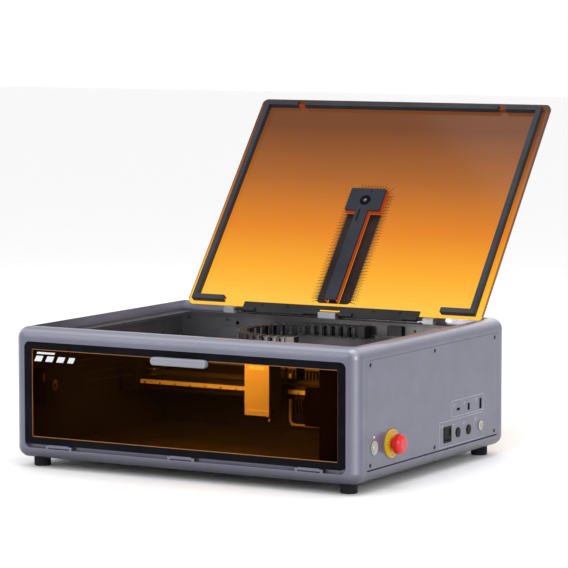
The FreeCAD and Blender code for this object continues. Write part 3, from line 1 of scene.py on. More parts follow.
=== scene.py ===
"""Looks of the desktop laser cutter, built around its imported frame. Metres, +X right, +Y back, +Z up."""
import json
import math

import bmesh
import bpy
from mathutils import Matrix, Vector


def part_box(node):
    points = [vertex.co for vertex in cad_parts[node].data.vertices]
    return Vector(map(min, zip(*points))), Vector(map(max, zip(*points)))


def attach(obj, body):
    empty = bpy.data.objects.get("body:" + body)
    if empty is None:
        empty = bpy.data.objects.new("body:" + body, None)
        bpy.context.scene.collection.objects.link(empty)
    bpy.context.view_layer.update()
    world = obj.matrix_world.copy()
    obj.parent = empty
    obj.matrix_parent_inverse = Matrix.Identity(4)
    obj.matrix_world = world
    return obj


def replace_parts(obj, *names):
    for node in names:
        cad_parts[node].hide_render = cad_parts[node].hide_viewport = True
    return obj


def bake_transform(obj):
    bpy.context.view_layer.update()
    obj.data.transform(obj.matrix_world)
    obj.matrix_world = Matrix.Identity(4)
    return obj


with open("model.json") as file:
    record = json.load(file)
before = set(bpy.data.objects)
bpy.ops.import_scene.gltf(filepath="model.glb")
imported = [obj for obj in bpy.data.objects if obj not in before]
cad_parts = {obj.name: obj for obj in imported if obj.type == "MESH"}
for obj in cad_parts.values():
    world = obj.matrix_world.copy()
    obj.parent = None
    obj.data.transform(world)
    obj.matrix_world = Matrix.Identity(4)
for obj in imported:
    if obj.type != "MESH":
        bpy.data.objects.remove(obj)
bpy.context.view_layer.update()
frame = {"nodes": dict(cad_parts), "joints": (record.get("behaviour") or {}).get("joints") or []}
nodes = frame["nodes"]

# ------------------------------------------------------------------ studio
# The camera stands well away to the right of the front, a little above the top of the housing.
# It is aimed along a fixed direction with a long lens, so the machine shows almost no perspective.
front_low, front_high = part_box("front_frame")
rear_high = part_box("rear_frame")[1]
MIDDLE = Vector(((front_low.x + front_high.x) / 2, (front_low.y + rear_high.y) / 2, 0))


def mm(x, y, z):
    """A point in millimetres from the middle of the housing's foot, as a point in the frame."""
    return MIDDLE + Vector((x, y, z)) / 1000


camera = bpy.data.objects.new("camera", bpy.data.cameras.new("camera"))
bpy.context.scene.collection.objects.link(camera)
right = Vector((0.8691, 0.4946, 0.0)).normalized()
up = Vector((-0.0473, 0.0832, 0.9954)).normalized()
back = right.cross(up)
camera_turn = Matrix((right, up, back)).transposed().to_4x4()
camera.matrix_world = Matrix.Translation(mm(2256.0, -3902.4, 694.3)) @ camera_turn
camera.data.lens = 195.0
camera.data.sensor_width = 36.0
camera.data.clip_end = 50.0
bpy.context.scene.camera = camera


def lamp(name, place, aim, size, power, tint=(1, 1, 1)):
    """A square soft box that shines from a place towards a point."""
    light = bpy.data.lights.new(name, "AREA")
    light.shape = "SQUARE"
    light.size = size
    light.energy = power
    light.color = tint
    holder = bpy.data.objects.new(name, light)
    bpy.context.scene.collection.objects.link(holder)
    way = (Vector(aim) - Vector(place)).to_track_quat("-Z", "Y")
    holder.matrix_world = Matrix.LocRotScale(Vector(place), way, Vector((1, 1, 1)))


lamp("top_softbox", (0.2, -0.2, 2.2), (0, 0, 0.1), 1.6, 20)
lamp("front_softbox", (-1.2, -2.2, 1.2), (0, 0, 0.15), 1.4, 10)
lamp("side_softbox", (2.2, -1.3, 0.8), (0.25, -0.25, 0.1), 0.6, 9)
lamp("back_softbox", (-0.4, 2.2, 1.4), (0, 0.1, 0.3), 1.4, 8)
lamp("chamber_light", mm(-40, -186, 176), mm(0, 60, 60), 0.07, 1.8, (1, 0.97, 0.92))
world = bpy.data.worlds.new("studio")
world.use_nodes = True
world.node_tree.nodes["Background"].inputs["Color"].default_value = (1.0, 1.0, 1.0, 1)
world.node_tree.nodes["Background"].inputs["Strength"].default_value = 1.0
bpy.context.scene.world = world
bpy.context.scene.view_settings.view_transform = "Standard"


class Nodes:
    """A material's node tree, written as a few short calls."""

    def __init__(self, name):
        self.material = bpy.data.materials.new(name)
        self.material.use_nodes = True
        self.tree = self.material.node_tree
        self.shader = self.tree.nodes["Principled BSDF"]
        self.out = self.tree.nodes["Material Output"]
        self.where = self.add("ShaderNodeTexCoord").outputs["Object"]

    def add(self, kind, links=(), **settings):
        node = self.tree.nodes.new(kind)
        for key, value in settings.items():
            setattr(node, key, value)
        for socket, value in dict(links).items():
            self.feed(node.inputs[socket], value)
        return node

    def feed(self, socket, value):
        if isinstance(value, bpy.types.NodeSocket):
            self.tree.links.new(value, socket)
        else:
            socket.default_value = value

    def maths(self, operation, a, b=0.0):
        return self.add("ShaderNodeMath", {0: a, 1: b}, operation=operation).outputs[0]

    def noise(self, scale, detail=4.0, stretch=None):
        place = self.where
        if stretch:
            place = self.add("ShaderNodeMapping", {"Vector": place, "Scale": stretch}).outputs[0]
        cloud = self.add("ShaderNodeTexNoise", {"Vector": place, "Scale": scale, "Detail": detail})
        return cloud.outputs["Fac"]

    def ramp(self, value, stops):
        node = self.add("ShaderNodeValToRGB", {"Fac": value})
        while len(node.color_ramp.elements) < len(stops):
            node.color_ramp.elements.new(0.5)
        for element, (spot, tint) in zip(node.color_ramp.elements, stops):
            element.position = spot
            element.color = (*tint, 1)
        return node.outputs["Color"]

    def between(self, value, low, high, start=0.3, end=0.7):
        return self.add("ShaderNodeMapRange", {"Value": value, "From Min": start, "From Max": end,
                                               "To Min": low, "To Max": high}).outputs[0]

    def blend(self, share, a, b):
        """Mixes two colours; a colour mix keeps them in its sockets 6 and 7 and gives its result in 2."""
        node = self.add("ShaderNodeMix", data_type="RGBA")
        for socket, value in ((node.inputs[0], share), (node.inputs[6], a), (node.inputs[7], b)):
            self.feed(socket, value)
        return node.outputs[2]

    def bump(self, height, strength, distance):
        normal = self.add("ShaderNodeBump", {"Height": height, "Strength": strength, "Distance": distance})
        self.feed(self.shader.inputs["Normal"], normal.outputs[0])

    def edges(self, radius):
        """How near an edge a point is, from 0 on a flat face to 1 on the edge."""
        soft = self.add("ShaderNodeBevel", {"Radius": radius}, samples=4).outputs[0]
        flat = self.add("ShaderNodeNewGeometry").outputs["Normal"]
        agree = self.add("ShaderNodeVectorMath", {0: soft, 1: flat}, operation="DOT_PRODUCT")
        return self.between(agree.outputs["Value"], 1.0, 0.0, 0.75, 0.995)


# How far in from an edge the painted highlight on paler edges reaches.
EDGE_HIGHLIGHT_REACH = 0.0006


def surface(name, tint, rough, metal=0.0, vary=0.15, grain=900.0, depth=0.00004, strength=0.25,
            stretch=None, coat=0.0, edge_highlight=None, shine=0.5, toned=None):
    """A finish with cloudy colour, uneven gloss and a fine grain.

    The edge colour and its share paint a highlight as paler edges; toned is a function that changes the
    colour further.
    """
    n = Nodes(name)
    cloud = n.noise(18.0, 5.0)
    fine = n.noise(grain, 3.0, stretch)
    dark = tuple(c * (1 - vary) for c in tint)
    pale = tuple(min(1.0, c * (1 + vary) + 0.004) for c in tint)
    colour = n.ramp(cloud, [(0.3, dark), (0.7, pale)])
    colour = n.blend(n.between(fine, 0.0, 0.22), colour, (*pale, 1))
    # Paler edges: a painted highlight where rounded edges would catch the light.
    if edge_highlight:
        colour = n.blend(n.maths("MULTIPLY", n.edges(EDGE_HIGHLIGHT_REACH), edge_highlight[3]), colour, (*edge_highlight[:3], 1))
    if toned:
        colour = toned(n, colour)
    n.feed(n.shader.inputs["Base Color"], colour)
    n.feed(n.shader.inputs["Roughness"], n.between(n.noise(45.0, 6.0), rough * 0.86, min(1.0, rough * 1.16)))
    n.shader.inputs["Metallic"].default_value = metal
    n.shader.inputs["Coat Weight"].default_value = coat
    n.shader.inputs["Specular IOR Level"].default_value = shine
    n.bump(fine, strength, depth)
    return n.material


def paint(node, material):
    """Gives a frame node its material."""
    for spot in nodes[node].material_slots:
        spot.material = material


floor_mesh = bmesh.new()
bmesh.ops.create_grid(floor_mesh, x_segments=1, y_segments=1, size=14)
floor_data = bpy.data.meshes.new("floor")
floor_mesh.to_mesh(floor_data)
floor = bpy.data.objects.new("floor", floor_data)
bpy.context.scene.collection.objects.link(floor)
floor_data.materials.append(surface("floor_paint", (0.93, 0.93, 0.935), 0.75, vary=0.01, strength=0.05))

# ------------------------------------------------------------------ housing
# Pressed steel frames, rails and panels in a cool grey metallic paint with a fine flake.
# The panels are screwed on with dark countersunk screws; the feet are moulded rubber.
def painted_roll_highlight_and_underside_shade(n, colour):
    """A painted highlight as a paler tone on rolled edges, which face along no axis, and painted shade as a
    darker one on faces that look down.
    """
    facing = n.add("ShaderNodeSeparateXYZ", {0: n.add("ShaderNodeNewGeometry").outputs["Normal"]}).outputs
    x, y, z = (n.maths("ABSOLUTE", facing[i]) for i in range(3))
    # Flatness is 1 on a face along an axis and about 0.71 halfway round a rolled edge.
    flatness = n.maths("MAXIMUM", n.maths("MAXIMUM", x, y), z)
    # Only upward and sideways rolled edges get the paler painted highlight.
    upper = n.between(facing[2], 0.0, 0.62, -0.12, 0.05)
    rolled = n.maths("MULTIPLY", n.between(flatness, 1.0, 0.0, 0.71, 0.97), upper)
    colour = n.blend(rolled, colour, (0.40, 0.40, 0.46, 1))
    # Faces that look down are darkened: painted shade.
    return n.blend(n.between(facing[2], 0.85, 0.0, -0.85, -0.10), colour, (0.020, 0.020, 0.030, 1))


# The housing paint carries painted highlights on its edges and painted shade on its undersides.
housing_paint = surface("housing_paint", (0.120, 0.122, 0.172), 0.34, metal=0.35, vary=0.05,
                        grain=2600.0, depth=0.00002, strength=0.12, coat=0.25,
                        edge_highlight=(0.36, 0.36, 0.41, 0.5), toned=painted_roll_highlight_and_underside_shade)
for name in ("front_frame", "rear_frame", "left_upper_rail", "right_upper_rail", "base_pan",
             "left_side_panel", "right_side_panel", "rear_panel"):
    paint(name, housing_paint)
foot_rubber = surface("foot_rubber", (0.010, 0.010, 0.012), 0.75, vary=0.3, grain=1500.0, strength=0.4,
                      shine=0.15)
paint("feet", foot_rubber)
screw_steel = surface("screw_steel", (0.008, 0.008, 0.010), 0.4, vary=0.2, shine=0.08)
paint("panel_screws", screw_steel)
paint("hinge_pins", screw_steel)
seat_paint = surface("seat_paint", (0.016, 0.016, 0.019), 0.42, vary=0.25, grain=1300.0, strength=0.3,
                     edge_highlight=(0.10, 0.10, 0.13, 0.6), shine=0.25)
paint("lid_seat_ring", seat_paint)

# ------------------------------------------------------------------ controls
# Bought-in controls are clamped in round and square holes: a plated push button and key switch,
# a moulded yellow and red emergency stop, a rocker in a black bezel and blackened sockets.
chrome = surface("control_chrome", (0.40, 0.39, 0.36), 0.3, metal=0.7, vary=0.08,
                 edge_highlight=(0.75, 0.74, 0.70, 0.6))
for name in ("power_button_ring", "power_button_cap", "key_switch_body", "key_barrel"):
    paint(name, chrome)
paint("e_stop_base", surface("stop_yellow", (0.66, 0.42, 0.010), 0.35, vary=0.06, shine=0.3))
paint("e_stop_button", surface("stop_red", (0.60, 0.012, 0.010), 0.28, vary=0.08, coat=0.15, shine=0.3))
rocker_black = surface("rocker_black", (0.003, 0.003, 0.004), 0.35, vary=0.2, shine=0.07)
paint("rocker_frame", rocker_black)
paint("rocker_switch", rocker_black)
port_metal = surface("port_metal", (0.006, 0.006, 0.008), 0.4, vary=0.2, shine=0.08)
paint("port_sockets", port_metal)

# ------------------------------------------------------------------ work chamber
# Black powder-coated sheet lines the chamber, and a brushed plate lies on its floor.
# The exhaust's collar, fan and rotor, the lid's sensor and strip and the chain's holders are black plastic.
wall_paint = surface("wall_paint", (0.017, 0.017, 0.022), 0.45, vary=0.25, grain=1400.0, strength=0.35)
for name in ("chamber_left_wall", "partition_wall", "chamber_rear_wall", "rear_wall_liner"):
    paint(name, wall_paint)
plate_metal = surface("plate_metal", (0.10, 0.095, 0.09), 0.38, metal=0.8, vary=0.2, grain=700.0,
                      stretch=(0.05, 1.0, 1.0), strength=0.3)
paint("work_plate", plate_metal)
black_plastic = surface("black_plastic", (0.006, 0.006, 0.007), 0.5, vary=0.3, grain=1800.0, strength=0.4,
                        shine=0.2)
for name in ("exhaust_collar", "exhaust_fan_frame", "exhaust_rotor", "lid_sensor", "chain_anchor",
             "chain_bracket", "lid_hinge_strip"):
    paint(name, black_plastic)
board_green = surface("board_green", (0.012, 0.09, 0.04), 0.4, vary=0.3, grain=300.0)
paint("mainboard", board_green)

# ------------------------------------------------------------------ gantry and head
# Black anodised extrusions and machined blocks carry a satin rail, ground shafts and steel pulleys.
# Motors are painted black, belts are black rubber, and the laser module is a finned casting.
dark_aluminium = surface("dark_aluminium", (0.055, 0.055, 0.06), 0.36, metal=0.85, vary=0.12, grain=900.0,
                         stretch=(0.04, 1.0, 1.0), strength=0.25, edge_highlight=(0.5, 0.5, 0.53, 0.5))
for name in ("y_rails", "idler_brackets", "gantry_beam", "gantry_end_blocks", "carriage"):
    paint(name, dark_aluminium)
bright_steel = surface("bright_steel", (0.40, 0.40, 0.42), 0.3, metal=0.9, vary=0.1, grain=1200.0,
                       stretch=(0.03, 1.0, 1.0))
for name in ("y_drive_shaft", "y_idlers", "x_idler", "x_drive_pulley"):
    paint(name, bright_steel)
rail_satin = surface("rail_satin", (0.86, 0.85, 0.82), 0.34, metal=0.2, vary=0.05, grain=1200.0,
                     stretch=(0.03, 1.0, 1.0))
paint("linear_rail", rail_satin)
motor_paint = surface("motor_paint", (0.02, 0.02, 0.021), 0.4, metal=0.3, vary=0.2)
paint("x_motor", motor_paint)
paint("y_motor", motor_paint)
belt_rubber = surface("belt_rubber", (0.014, 0.014, 0.014), 0.65, vary=0.2)
paint("x_belt", belt_rubber)
paint("y_belts", belt_rubber)
laser_anodised = surface("laser_anodised", (0.075, 0.074, 0.072), 0.42, metal=0.3, vary=0.15,
                         edge_highlight=(0.3, 0.3, 0.32, 0.4))
paint("laser_housing", laser_anodised)
paint("nozzle", surface("nozzle_brass", (0.62, 0.42, 0.14), 0.26, metal=1.0, vary=0.15))
paint("cable_chain", black_plastic)

# ------------------------------------------------------------------ lid
# A sheet of orange acrylic on a black hinge strip, with a rubber seal on the ridge round its edge.
# The camera hangs in a T-shaped box in the middle. The sheet is almost opaque; its colour fades from
# orange at the hinge to brown at the free edge as painted shade, and is given off as a painted glow that
# stays as the lid turns.
lid_joint = next(joint for joint in frame["joints"] if joint["name"] == "lid_hinge")
hinge = Vector(lid_joint["pos_m"])
SLOPE = math.radians(180 - lid_joint["range_deg"][1])
ALONG = Vector((0, math.cos(SLOPE), math.sin(SLOPE)))
INWARD = Vector((0, -math.sin(SLOPE), math.cos(SLOPE)))
EDGE_FROM_HINGE, FACE_FROM_HINGE = 0.0089, 0.007
LID_ZERO = hinge + EDGE_FROM_HINGE * ALONG - FACE_FROM_HINGE * INWARD
LID_REACH = 0.3946


def on_lid(x, t, n):
    """A point in millimetres on the open lid: across, along it from the hinge edge, and inwards."""
    return LID_ZERO + (Vector((x, 0, 0)) + t * ALONG + n * INWARD) / 1000


lid_look = Nodes("lid_acrylic_painted_glow")
offset = lid_look.add("ShaderNodeVectorMath", {0: lid_look.where, 1: tuple(LID_ZERO)},
                      operation="SUBTRACT").outputs[0]
rise = lid_look.add("ShaderNodeVectorMath", {0: offset, 1: tuple(ALONG)},
                    operation="DOT_PRODUCT").outputs["Value"]
sway = lid_look.maths("MULTIPLY", lid_look.noise(2.2, 2.0), 0.03)
rise = lid_look.maths("ADD", rise, sway)
# The fade from orange to brown along the lid is painted shade, not the sheet's own tint.
tint = lid_look.ramp(lid_look.between(rise, 0.0, 1.0, 0.0, LID_REACH), [
    (0.05, (0.98, 0.56, 0.065)), (0.20, (0.93, 0.42, 0.026)), (0.41, (0.74, 0.23, 0.014)),
    (0.67, (0.37, 0.115, 0.020)), (0.90, (0.16, 0.052, 0.018))])
depth = lid_look.add("ShaderNodeVectorMath", {0: offset, 1: tuple(INWARD)},
                     operation="DOT_PRODUCT").outputs["Value"]
raised = lid_look.between(depth, 0.0, 0.92, 0.0042, 0.0060)
tint = lid_look.blend(raised, tint, (0.33, 0.022, 0.008, 1))
across = lid_look.maths("ABSOLUTE", lid_look.add("ShaderNodeSeparateXYZ", {0: offset}).outputs[0])
SIDE_LINE, FREE_LINE, LINE_BLUR = 0.2552, 0.3925, 0.001
rim_line = lid_look.maths("MAXIMUM", lid_look.between(across, 0.0, 0.8, SIDE_LINE, SIDE_LINE + LINE_BLUR),
                          lid_look.between(rise, 0.0, 0.8, FREE_LINE, FREE_LINE + LINE_BLUR))
tint = lid_look.blend(rim_line, tint, (0.06, 0.018, 0.006, 1))
lid_look.shader.inputs["Base Color"].default_value = (0.02, 0.006, 0.001, 1)
lid_look.shader.inputs["Roughness"].default_value = 0.12
# The sheet's colour is given off as light: a painted glow, though the lid is no lamp.
lid_look.feed(lid_look.shader.inputs["Emission Color"], tint)
lid_look.shader.inputs["Emission Strength"].default_value = 1.05
lid_look.shader.inputs["Specular IOR Level"].default_value = 0.12
lid_look.bump(lid_look.noise(260.0, 2.0), 0.03, 0.0001)
glow = lid_look.add("ShaderNodeBsdfTransparent", {"Color": tint})
shares = lid_look.add("ShaderNodeMixShader", {0: 0.06, 1: lid_look.shader.outputs[0], 2: glow.outputs[0]})
lid_look.feed(lid_look.out.inputs["Surface"], shares.outputs[0])
paint("lid_panel", lid_look.material)
paint("lid_gasket", surface("gasket_rubber", (0.020, 0.022, 0.028), 0.6, vary=0.2, grain=1200.0,
                            strength=0.4, shine=0.2))
paint("camera_cover", surface("cover_charcoal", (0.013, 0.016, 0.022), 0.55, vary=0.15, grain=1500.0,
                              shine=0.12))
paint("camera_lens", surface("lens_black", (0.008, 0.008, 0.01), 0.12, vary=0.2, coat=0.8))
hinge_grey = surface("hinge_grey", (0.17, 0.175, 0.20), 0.45, metal=0.2, vary=0.1, shine=0.3)
paint("lid_hinge_blocks", hinge_grey)

# ------------------------------------------------------------------ front door
# A pane of amber acrylic in a black frame, which drops forward and down on three knuckles.
# The pane passes most of the light that reaches it, tinted, and has a faint gloss of its own.
door_black = surface("door_black", (0.0015, 0.0015, 0.004), 0.45, vary=0.2, strength=0.1,
                     edge_highlight=(0.05, 0.05, 0.06, 0.5), shine=0.04)
paint("door_frame", door_black)
paint("door_knuckles", housing_paint)
amber = Nodes("door_amber")
amber.shader.inputs["Base Color"].default_value = (0.02, 0.006, 0.001, 1)
amber.shader.inputs["Specular IOR Level"].default_value = 0.1
amber.feed(amber.shader.inputs["Roughness"], amber.between(amber.noise(30.0), 0.04, 0.09))
amber.bump(amber.noise(40.0, 2.0), 0.01, 0.0001)
see = amber.add("ShaderNodeBsdfTransparent", {"Color": (0.52, 0.31, 0.085, 1)})
amber_mix = amber.add("ShaderNodeMixShader", {0: 0.94, 1: amber.shader.outputs[0], 2: see.outputs[0]})
amber.feed(amber.out.inputs["Surface"], amber_mix.outputs[0])
paint("door_window", amber.material)
handle_grey = surface("handle_grey", (0.24, 0.245, 0.29), 0.42, metal=0.3, vary=0.06,
                      edge_highlight=(0.55, 0.56, 0.62, 0.7))
paint("door_handle", handle_grey)

# ------------------------------------------------------------------ door: handle, edge line and mark
# The handle is a die-cast bar with a rolled rim and a sunk face, and its foot reaches back to the pane.
# The pane's cut edge shows as a bright line, which is a painted highlight, and a plain row of slanted bars is
# printed on it.
def piece(name, mesh, material, body, angle=32):
    """Makes an object of a finished mesh, shaded smooth up to an angle, that rides on a body."""
    bmesh.ops.recalc_face_normals(mesh, faces=mesh.faces)
    data = bpy.data.meshes.new(name)
    mesh.to_mesh(data)
    mesh.free()
    data.polygons.foreach_set("use_smooth", [True] * len(data.polygons))
    data.set_sharp_from_angle(angle=math.radians(angle))
    data.materials.append(material)
    thing = bpy.data.objects.new(name, data)
    bpy.context.scene.collection.objects.link(thing)
    if body:
        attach(thing, body)
    return thing


def add_box(mesh, x, y, z, round_off=0.0, place=mm):
    """Adds a box between two planes each way, in millimetres, with its edges rounded."""
    corner = place(x[0], y[0], z[0])
    ends = (place(x[1], y[0], z[0]), place(x[0], y[1], z[0]), place(x[0], y[0], z[1]))
    axes = [end - corner for end in ends]
    centre = corner + sum(axes, Vector()) / 2
    box = Matrix((axes[0], axes[1], axes[2])).transposed().to_4x4()
    made = bmesh.ops.create_cube(mesh, size=1, matrix=Matrix.Translation(centre) @ box)
    if round_off:
        edges = {edge for vert in made["verts"] for edge in vert.link_edges}
        bmesh.ops.bevel(mesh, geom=list(edges), offset=round_off / 1000, segments=3, profile=0.5,
                        affect="EDGES", material=-1)


def spans(node):
    """How far a frame node reaches each way: (low, high) in millimetres, measured as mm() does."""
    low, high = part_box(node)
    return [((a - m) * 1000, (b - m) * 1000) for a, b, m in zip(low, high, MIDDLE)]


def rounded(x, z, corner, steps=6):
    """The outline of a rectangle with round corners, as pairs of millimetres."""
    turns = ((x[1] - corner, z[1] - corner, 0), (x[0] + corner, z[1] - corner, 90),
             (x[0] + corner, z[0] + corner, 180), (x[1] - corner, z[0] + corner, 270))
    return [(cx + corner * math.cos(math.radians(start + 90 * i / steps)),
             cz + corner * math.sin(math.radians(start + 90 * i / steps)))
            for cx, cz, start in turns for i in range(steps + 1)]


def add_plate(mesh, points, depth):
    """Adds a plate of an outline of points in the frame, drawn out along a vector; returns its far face."""
    face = mesh.faces.new([mesh.verts.new(point) for point in points])
    grown = bmesh.ops.extrude_face_region(mesh, geom=[face], use_keep_orig=True)["geom"]
    bmesh.ops.translate(mesh, vec=depth, verts=[g for g in grown if isinstance(g, bmesh.types.BMVert)])
    return next(g for g in grown if isinstance(g, bmesh.types.BMFace))


handle_x, handle_y, handle_z = spans("door_handle")
BAR_SET_BACK = 4.5
RIM = 1.2
bar_z = (handle_z[0] + 1.5, handle_z[1] - 0.5)
bar_front = handle_y[0] + BAR_SET_BACK
door_face = spans("door_frame")[1][0]
bar = bmesh.new()
front = add_plate(bar, [mm(x, door_face, z) for x, z in rounded(handle_x, bar_z, 5.2)],
                  Vector((0, (bar_front - door_face + RIM) / 1000, 0)))
for inset, rise_out in ((RIM, RIM), (RIM, 0.0), (0.6, -0.8)):
    bmesh.ops.inset_region(bar, faces=[front], thickness=inset / 1000, depth=rise_out / 1000)
add_box(bar, (handle_x[0] + 8, handle_x[1] - 8), (door_face - 0.2, door_face + 1.6),
        (bar_z[0] + 1.5, bar_z[1] - 2.5))
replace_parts(piece("handle_bar", bar, handle_grey, "door", 50), "door_handle")

pane_x, pane_y, pane_z = spans("door_window")
LAP, LINE = 4.0, 0.9
line_x = (pane_x[0] + LAP, pane_x[1] - LAP)
line_z = (pane_z[0] + LAP, pane_z[1] - LAP)
pane_face = pane_y[0]
# The bright line is a painted highlight where the pane's cut edge catches light.
pane_highlight_paint = surface("pane_edge", (0.42, 0.15, 0.02), 0.3, vary=0.2)
line = bmesh.new()
for x, z in ((line_x, (line_z[0], line_z[0] + LINE)), (line_x, (line_z[1] - LINE, line_z[1])),
             ((line_x[0], line_x[0] + LINE), line_z), ((line_x[1] - LINE, line_x[1]), line_z)):
    add_box(line, x, (pane_face - 0.15, pane_face + 0.1), z)
piece("pane_edge_line", line, pane_highlight_paint, "door")

print_grey = surface("print_grey", (0.62, 0.62, 0.63), 0.5, vary=0.05, strength=0.1)
mark = bmesh.new()
for x, z, length, height, slant in ((-249, 156.5, 16, 8, 4), (-230, 156.5, 16, 8, 4), (-211, 156.5, 16, 8, 4),
                                    (-192, 156.5, 14, 8, 4), (-245, 167.3, 32.5, 2.9, 1.5)):
    corners = ((x, z), (x + length - slant, z), (x + length, z + height), (x + slant, z + height))
    add_plate(mark, [mm(u, pane_face - 0.12, v) for u, v in corners], Vector((0, 0.0001, 0)))
piece("pane_mark", mark, print_grey, "door")

# ------------------------------------------------------------------ right side: outlines, lamp, stop marks
# Fine printed boxes gather the two rows of sockets, with two short plain bars beside each socket.
# The lamp is a clear lens over a white diode; the stop's head has three arrows, and its ring has ticks.
# A dark rubber strip lies along the seam near the foot of each side, as painted shade in the seam.
face_x = spans("right_side_panel")[0][1]


def printed(mesh, y, z):
    """Adds a printed patch on the right side's face."""
    add_box(mesh, (face_x - 0.02, face_x + 0.08), y, z)


pale_print = surface("pale_print", (0.30, 0.30, 0.35), 0.5, vary=0.05, strength=0.1)
outline = bmesh.new()
for y, z in (((54.4, 159.6), (75.7, 99)), ((15.2, 158.2), (35, 72))):
    for v in z:
        printed(outline, y, (v - 0.4, v + 0.4))
    for u in y:
        printed(outline, (u - 0.4, u + 0.4), z)
for y, z in ((62, 93), (96, 93), (136, 94), (61, 64), (95, 64), (134, 65), (24, 66)):
    printed(outline, (y - 3.5, y + 3.5), (z, z + 1))
    printed(outline, (y - 3.5, y + 1.0), (z - 2.6, z - 1.6))
# The dark strip is painted shade where the seam would be shadowed.
seam_shade = bmesh.new()
for x in ((face_x - 0.4, face_x + 0.04), (-face_x - 0.04, -face_x + 0.4)):
    add_box(seam_shade, x, (-205, 205), (31.0, 33.0))
piece("seam_strip", seam_shade, foot_rubber, "housing")
piece("socket_outlines", outline, pale_print, "housing")
TURNS = {"x": Matrix.Rotation(math.radians(90), 4, "Y"), "y": Matrix.Rotation(math.radians(-90), 4, "X"),
         "z": Matrix.Identity(4)}


def add_rod(mesh, centre, along, radius, length, round_off=0.0, sides=32):
    """Adds a round bar about a centre in the frame, in millimetres along x, y or z, or along a matrix."""
    turn = TURNS[along] if isinstance(along, str) else along
    made = bmesh.ops.create_cone(mesh, cap_ends=True, segments=sides, radius1=radius / 1000,
                                 radius2=radius / 1000, depth=length / 1000,
                                 matrix=Matrix.Translation(centre) @ turn)
    if round_off:
        rims = {edge for vert in made["verts"] for edge in vert.link_edges
                if len(edge.link_faces) == 2 and any(len(f.verts) > 4 for f in edge.link_faces)}
        bmesh.ops.bevel(mesh, geom=list(rims), offset=round_off / 1000, segments=3, profile=0.5,
                        affect="EDGES", material=-1)


rings = bmesh.new()
RING_RADIUS, RING_WALL = 7.4, 1.6
for y in (75.4, 109.9):
    add_rod(rings, mm(face_x + 0.3, y, 51.5), "x", RING_RADIUS, 1.2, 0.3)
    add_rod(rings, mm(face_x + 1.0, y, 51.5), "x", RING_RADIUS - RING_WALL, 0.3)
piece("socket_rings", rings, rocker_black, "housing")
lamp_lens = bmesh.new()
add_rod(lamp_lens, mm(face_x - 0.6, -185, 77.2), "x", 1.55, 2.0, 0.4, 20)
piece("lamp_lens", lamp_lens, surface("lamp_clear", (0.8, 0.8, 0.84), 0.2, vary=0.05, coat=0.5), "housing")
STOP_Y, STOP_Z = -134, 62.3


def ring_patch(mesh, x, inner, outer, start, end, thick):
    """Adds a piece of a ring about the stop's middle, between two radii in millimetres and two angles."""
    spots = ((inner, start), (outer, start), (outer, end), (inner, end))
    add_plate(mesh, [mm(x, STOP_Y + radius * math.cos(turn), STOP_Z + radius * math.sin(turn))
                     for radius, turn in spots], Vector((thick / 1000, 0, 0)))


stop_x = spans("e_stop_button")[0][1]
ARROW_RADIUS, ARROW_STEPS = 7, 7
arrows = bmesh.new()
for i in range(3):
    for k in range(ARROW_STEPS):
        angle = math.radians(120 * i + 9 * k)
        wide = 1.1 if k < ARROW_STEPS - 1 else 2.0
        ring_patch(arrows, stop_x - 0.12, ARROW_RADIUS - wide / 2, ARROW_RADIUS + wide / 2,
                   angle, angle + 0.157, 0.1)
piece("stop_arrows", arrows, surface("arrow_white", (0.7, 0.66, 0.64), 0.4, vary=0.1), "e_stop")
TICK_RADIUS, TICK_HALF_TURN = 18.6, 0.03
ticks = bmesh.new()
for i in range(24):
    angle = math.radians(15 * i)
    reach = 2.6 if i % 6 else 4.0
    ring_patch(ticks, face_x + 2.5, TICK_RADIUS - reach, TICK_RADIUS,
               angle - TICK_HALF_TURN, angle + TICK_HALF_TURN, 0.15)
piece("stop_ticks", ticks, surface("tick_black", (0.03, 0.025, 0.02), 0.5), "housing")

# ------------------------------------------------------------------ rear: exhaust guard and plain plate
# A guard of wire rings on four spokes closes the mouth of the exhaust collar.
# A satin plate with six plain lines is stuck on the panel beside it.
collar_x, collar_y, collar_z = spans("exhaust_collar")
guard_x, guard_y, guard_z = sum(collar_x) / 2, collar_y[1] - 7, sum(collar_z) / 2
WIRE = 0.7
guard = bmesh.new()
for radius in (36.6, 29, 21.5, 14, 6.5):
    wire = bmesh.ops.create_circle(
        guard, segments=8, radius=WIRE / 1000,
        matrix=Matrix.Translation(mm(guard_x + radius, guard_y, guard_z)))["verts"]
    rim = wire + list({edge for vert in wire for edge in vert.link_edges})
    bmesh.ops.spin(guard, geom=rim, cent=mm(guard_x, guard_y, guard_z), axis=(0, 1, 0), angle=math.tau,
                   steps=48, use_merge=True)
SPOKE_MIDDLE, SPOKE_LENGTH = 21.4, 31.5
for i in range(4):
    angle = math.radians(45 + 90 * i)
    place = mm(guard_x + SPOKE_MIDDLE * math.cos(angle), guard_y - 1.2,
               guard_z + SPOKE_MIDDLE * math.sin(angle))
    add_rod(guard, place, Matrix.Rotation(-angle, 4, "Y") @ TURNS["x"], WIRE, SPOKE_LENGTH, 0, 8)
piece("exhaust_guard", guard, screw_steel, "housing")
rear_face = spans("rear_panel")[1][1]
rating = bmesh.new()
add_box(rating, (-150, -88), (rear_face - 0.1, rear_face + 0.3), (58, 98), 0.1)
plate_silver = surface("plate_silver", (0.34, 0.345, 0.36), 0.4, metal=0.6, vary=0.06, grain=1000.0,
                       stretch=(0.05, 1, 1))
piece("rear_plate", rating, plate_silver, "housing")
lines = bmesh.new()
LINE_PITCH = 5.6
for i in range(6):
    add_box(lines, (-145, -100 - 9 * (i % 3)), (rear_face + 0.2, rear_face + 0.4),
            (91 - LINE_PITCH * i, 92.4 - LINE_PITCH * i))
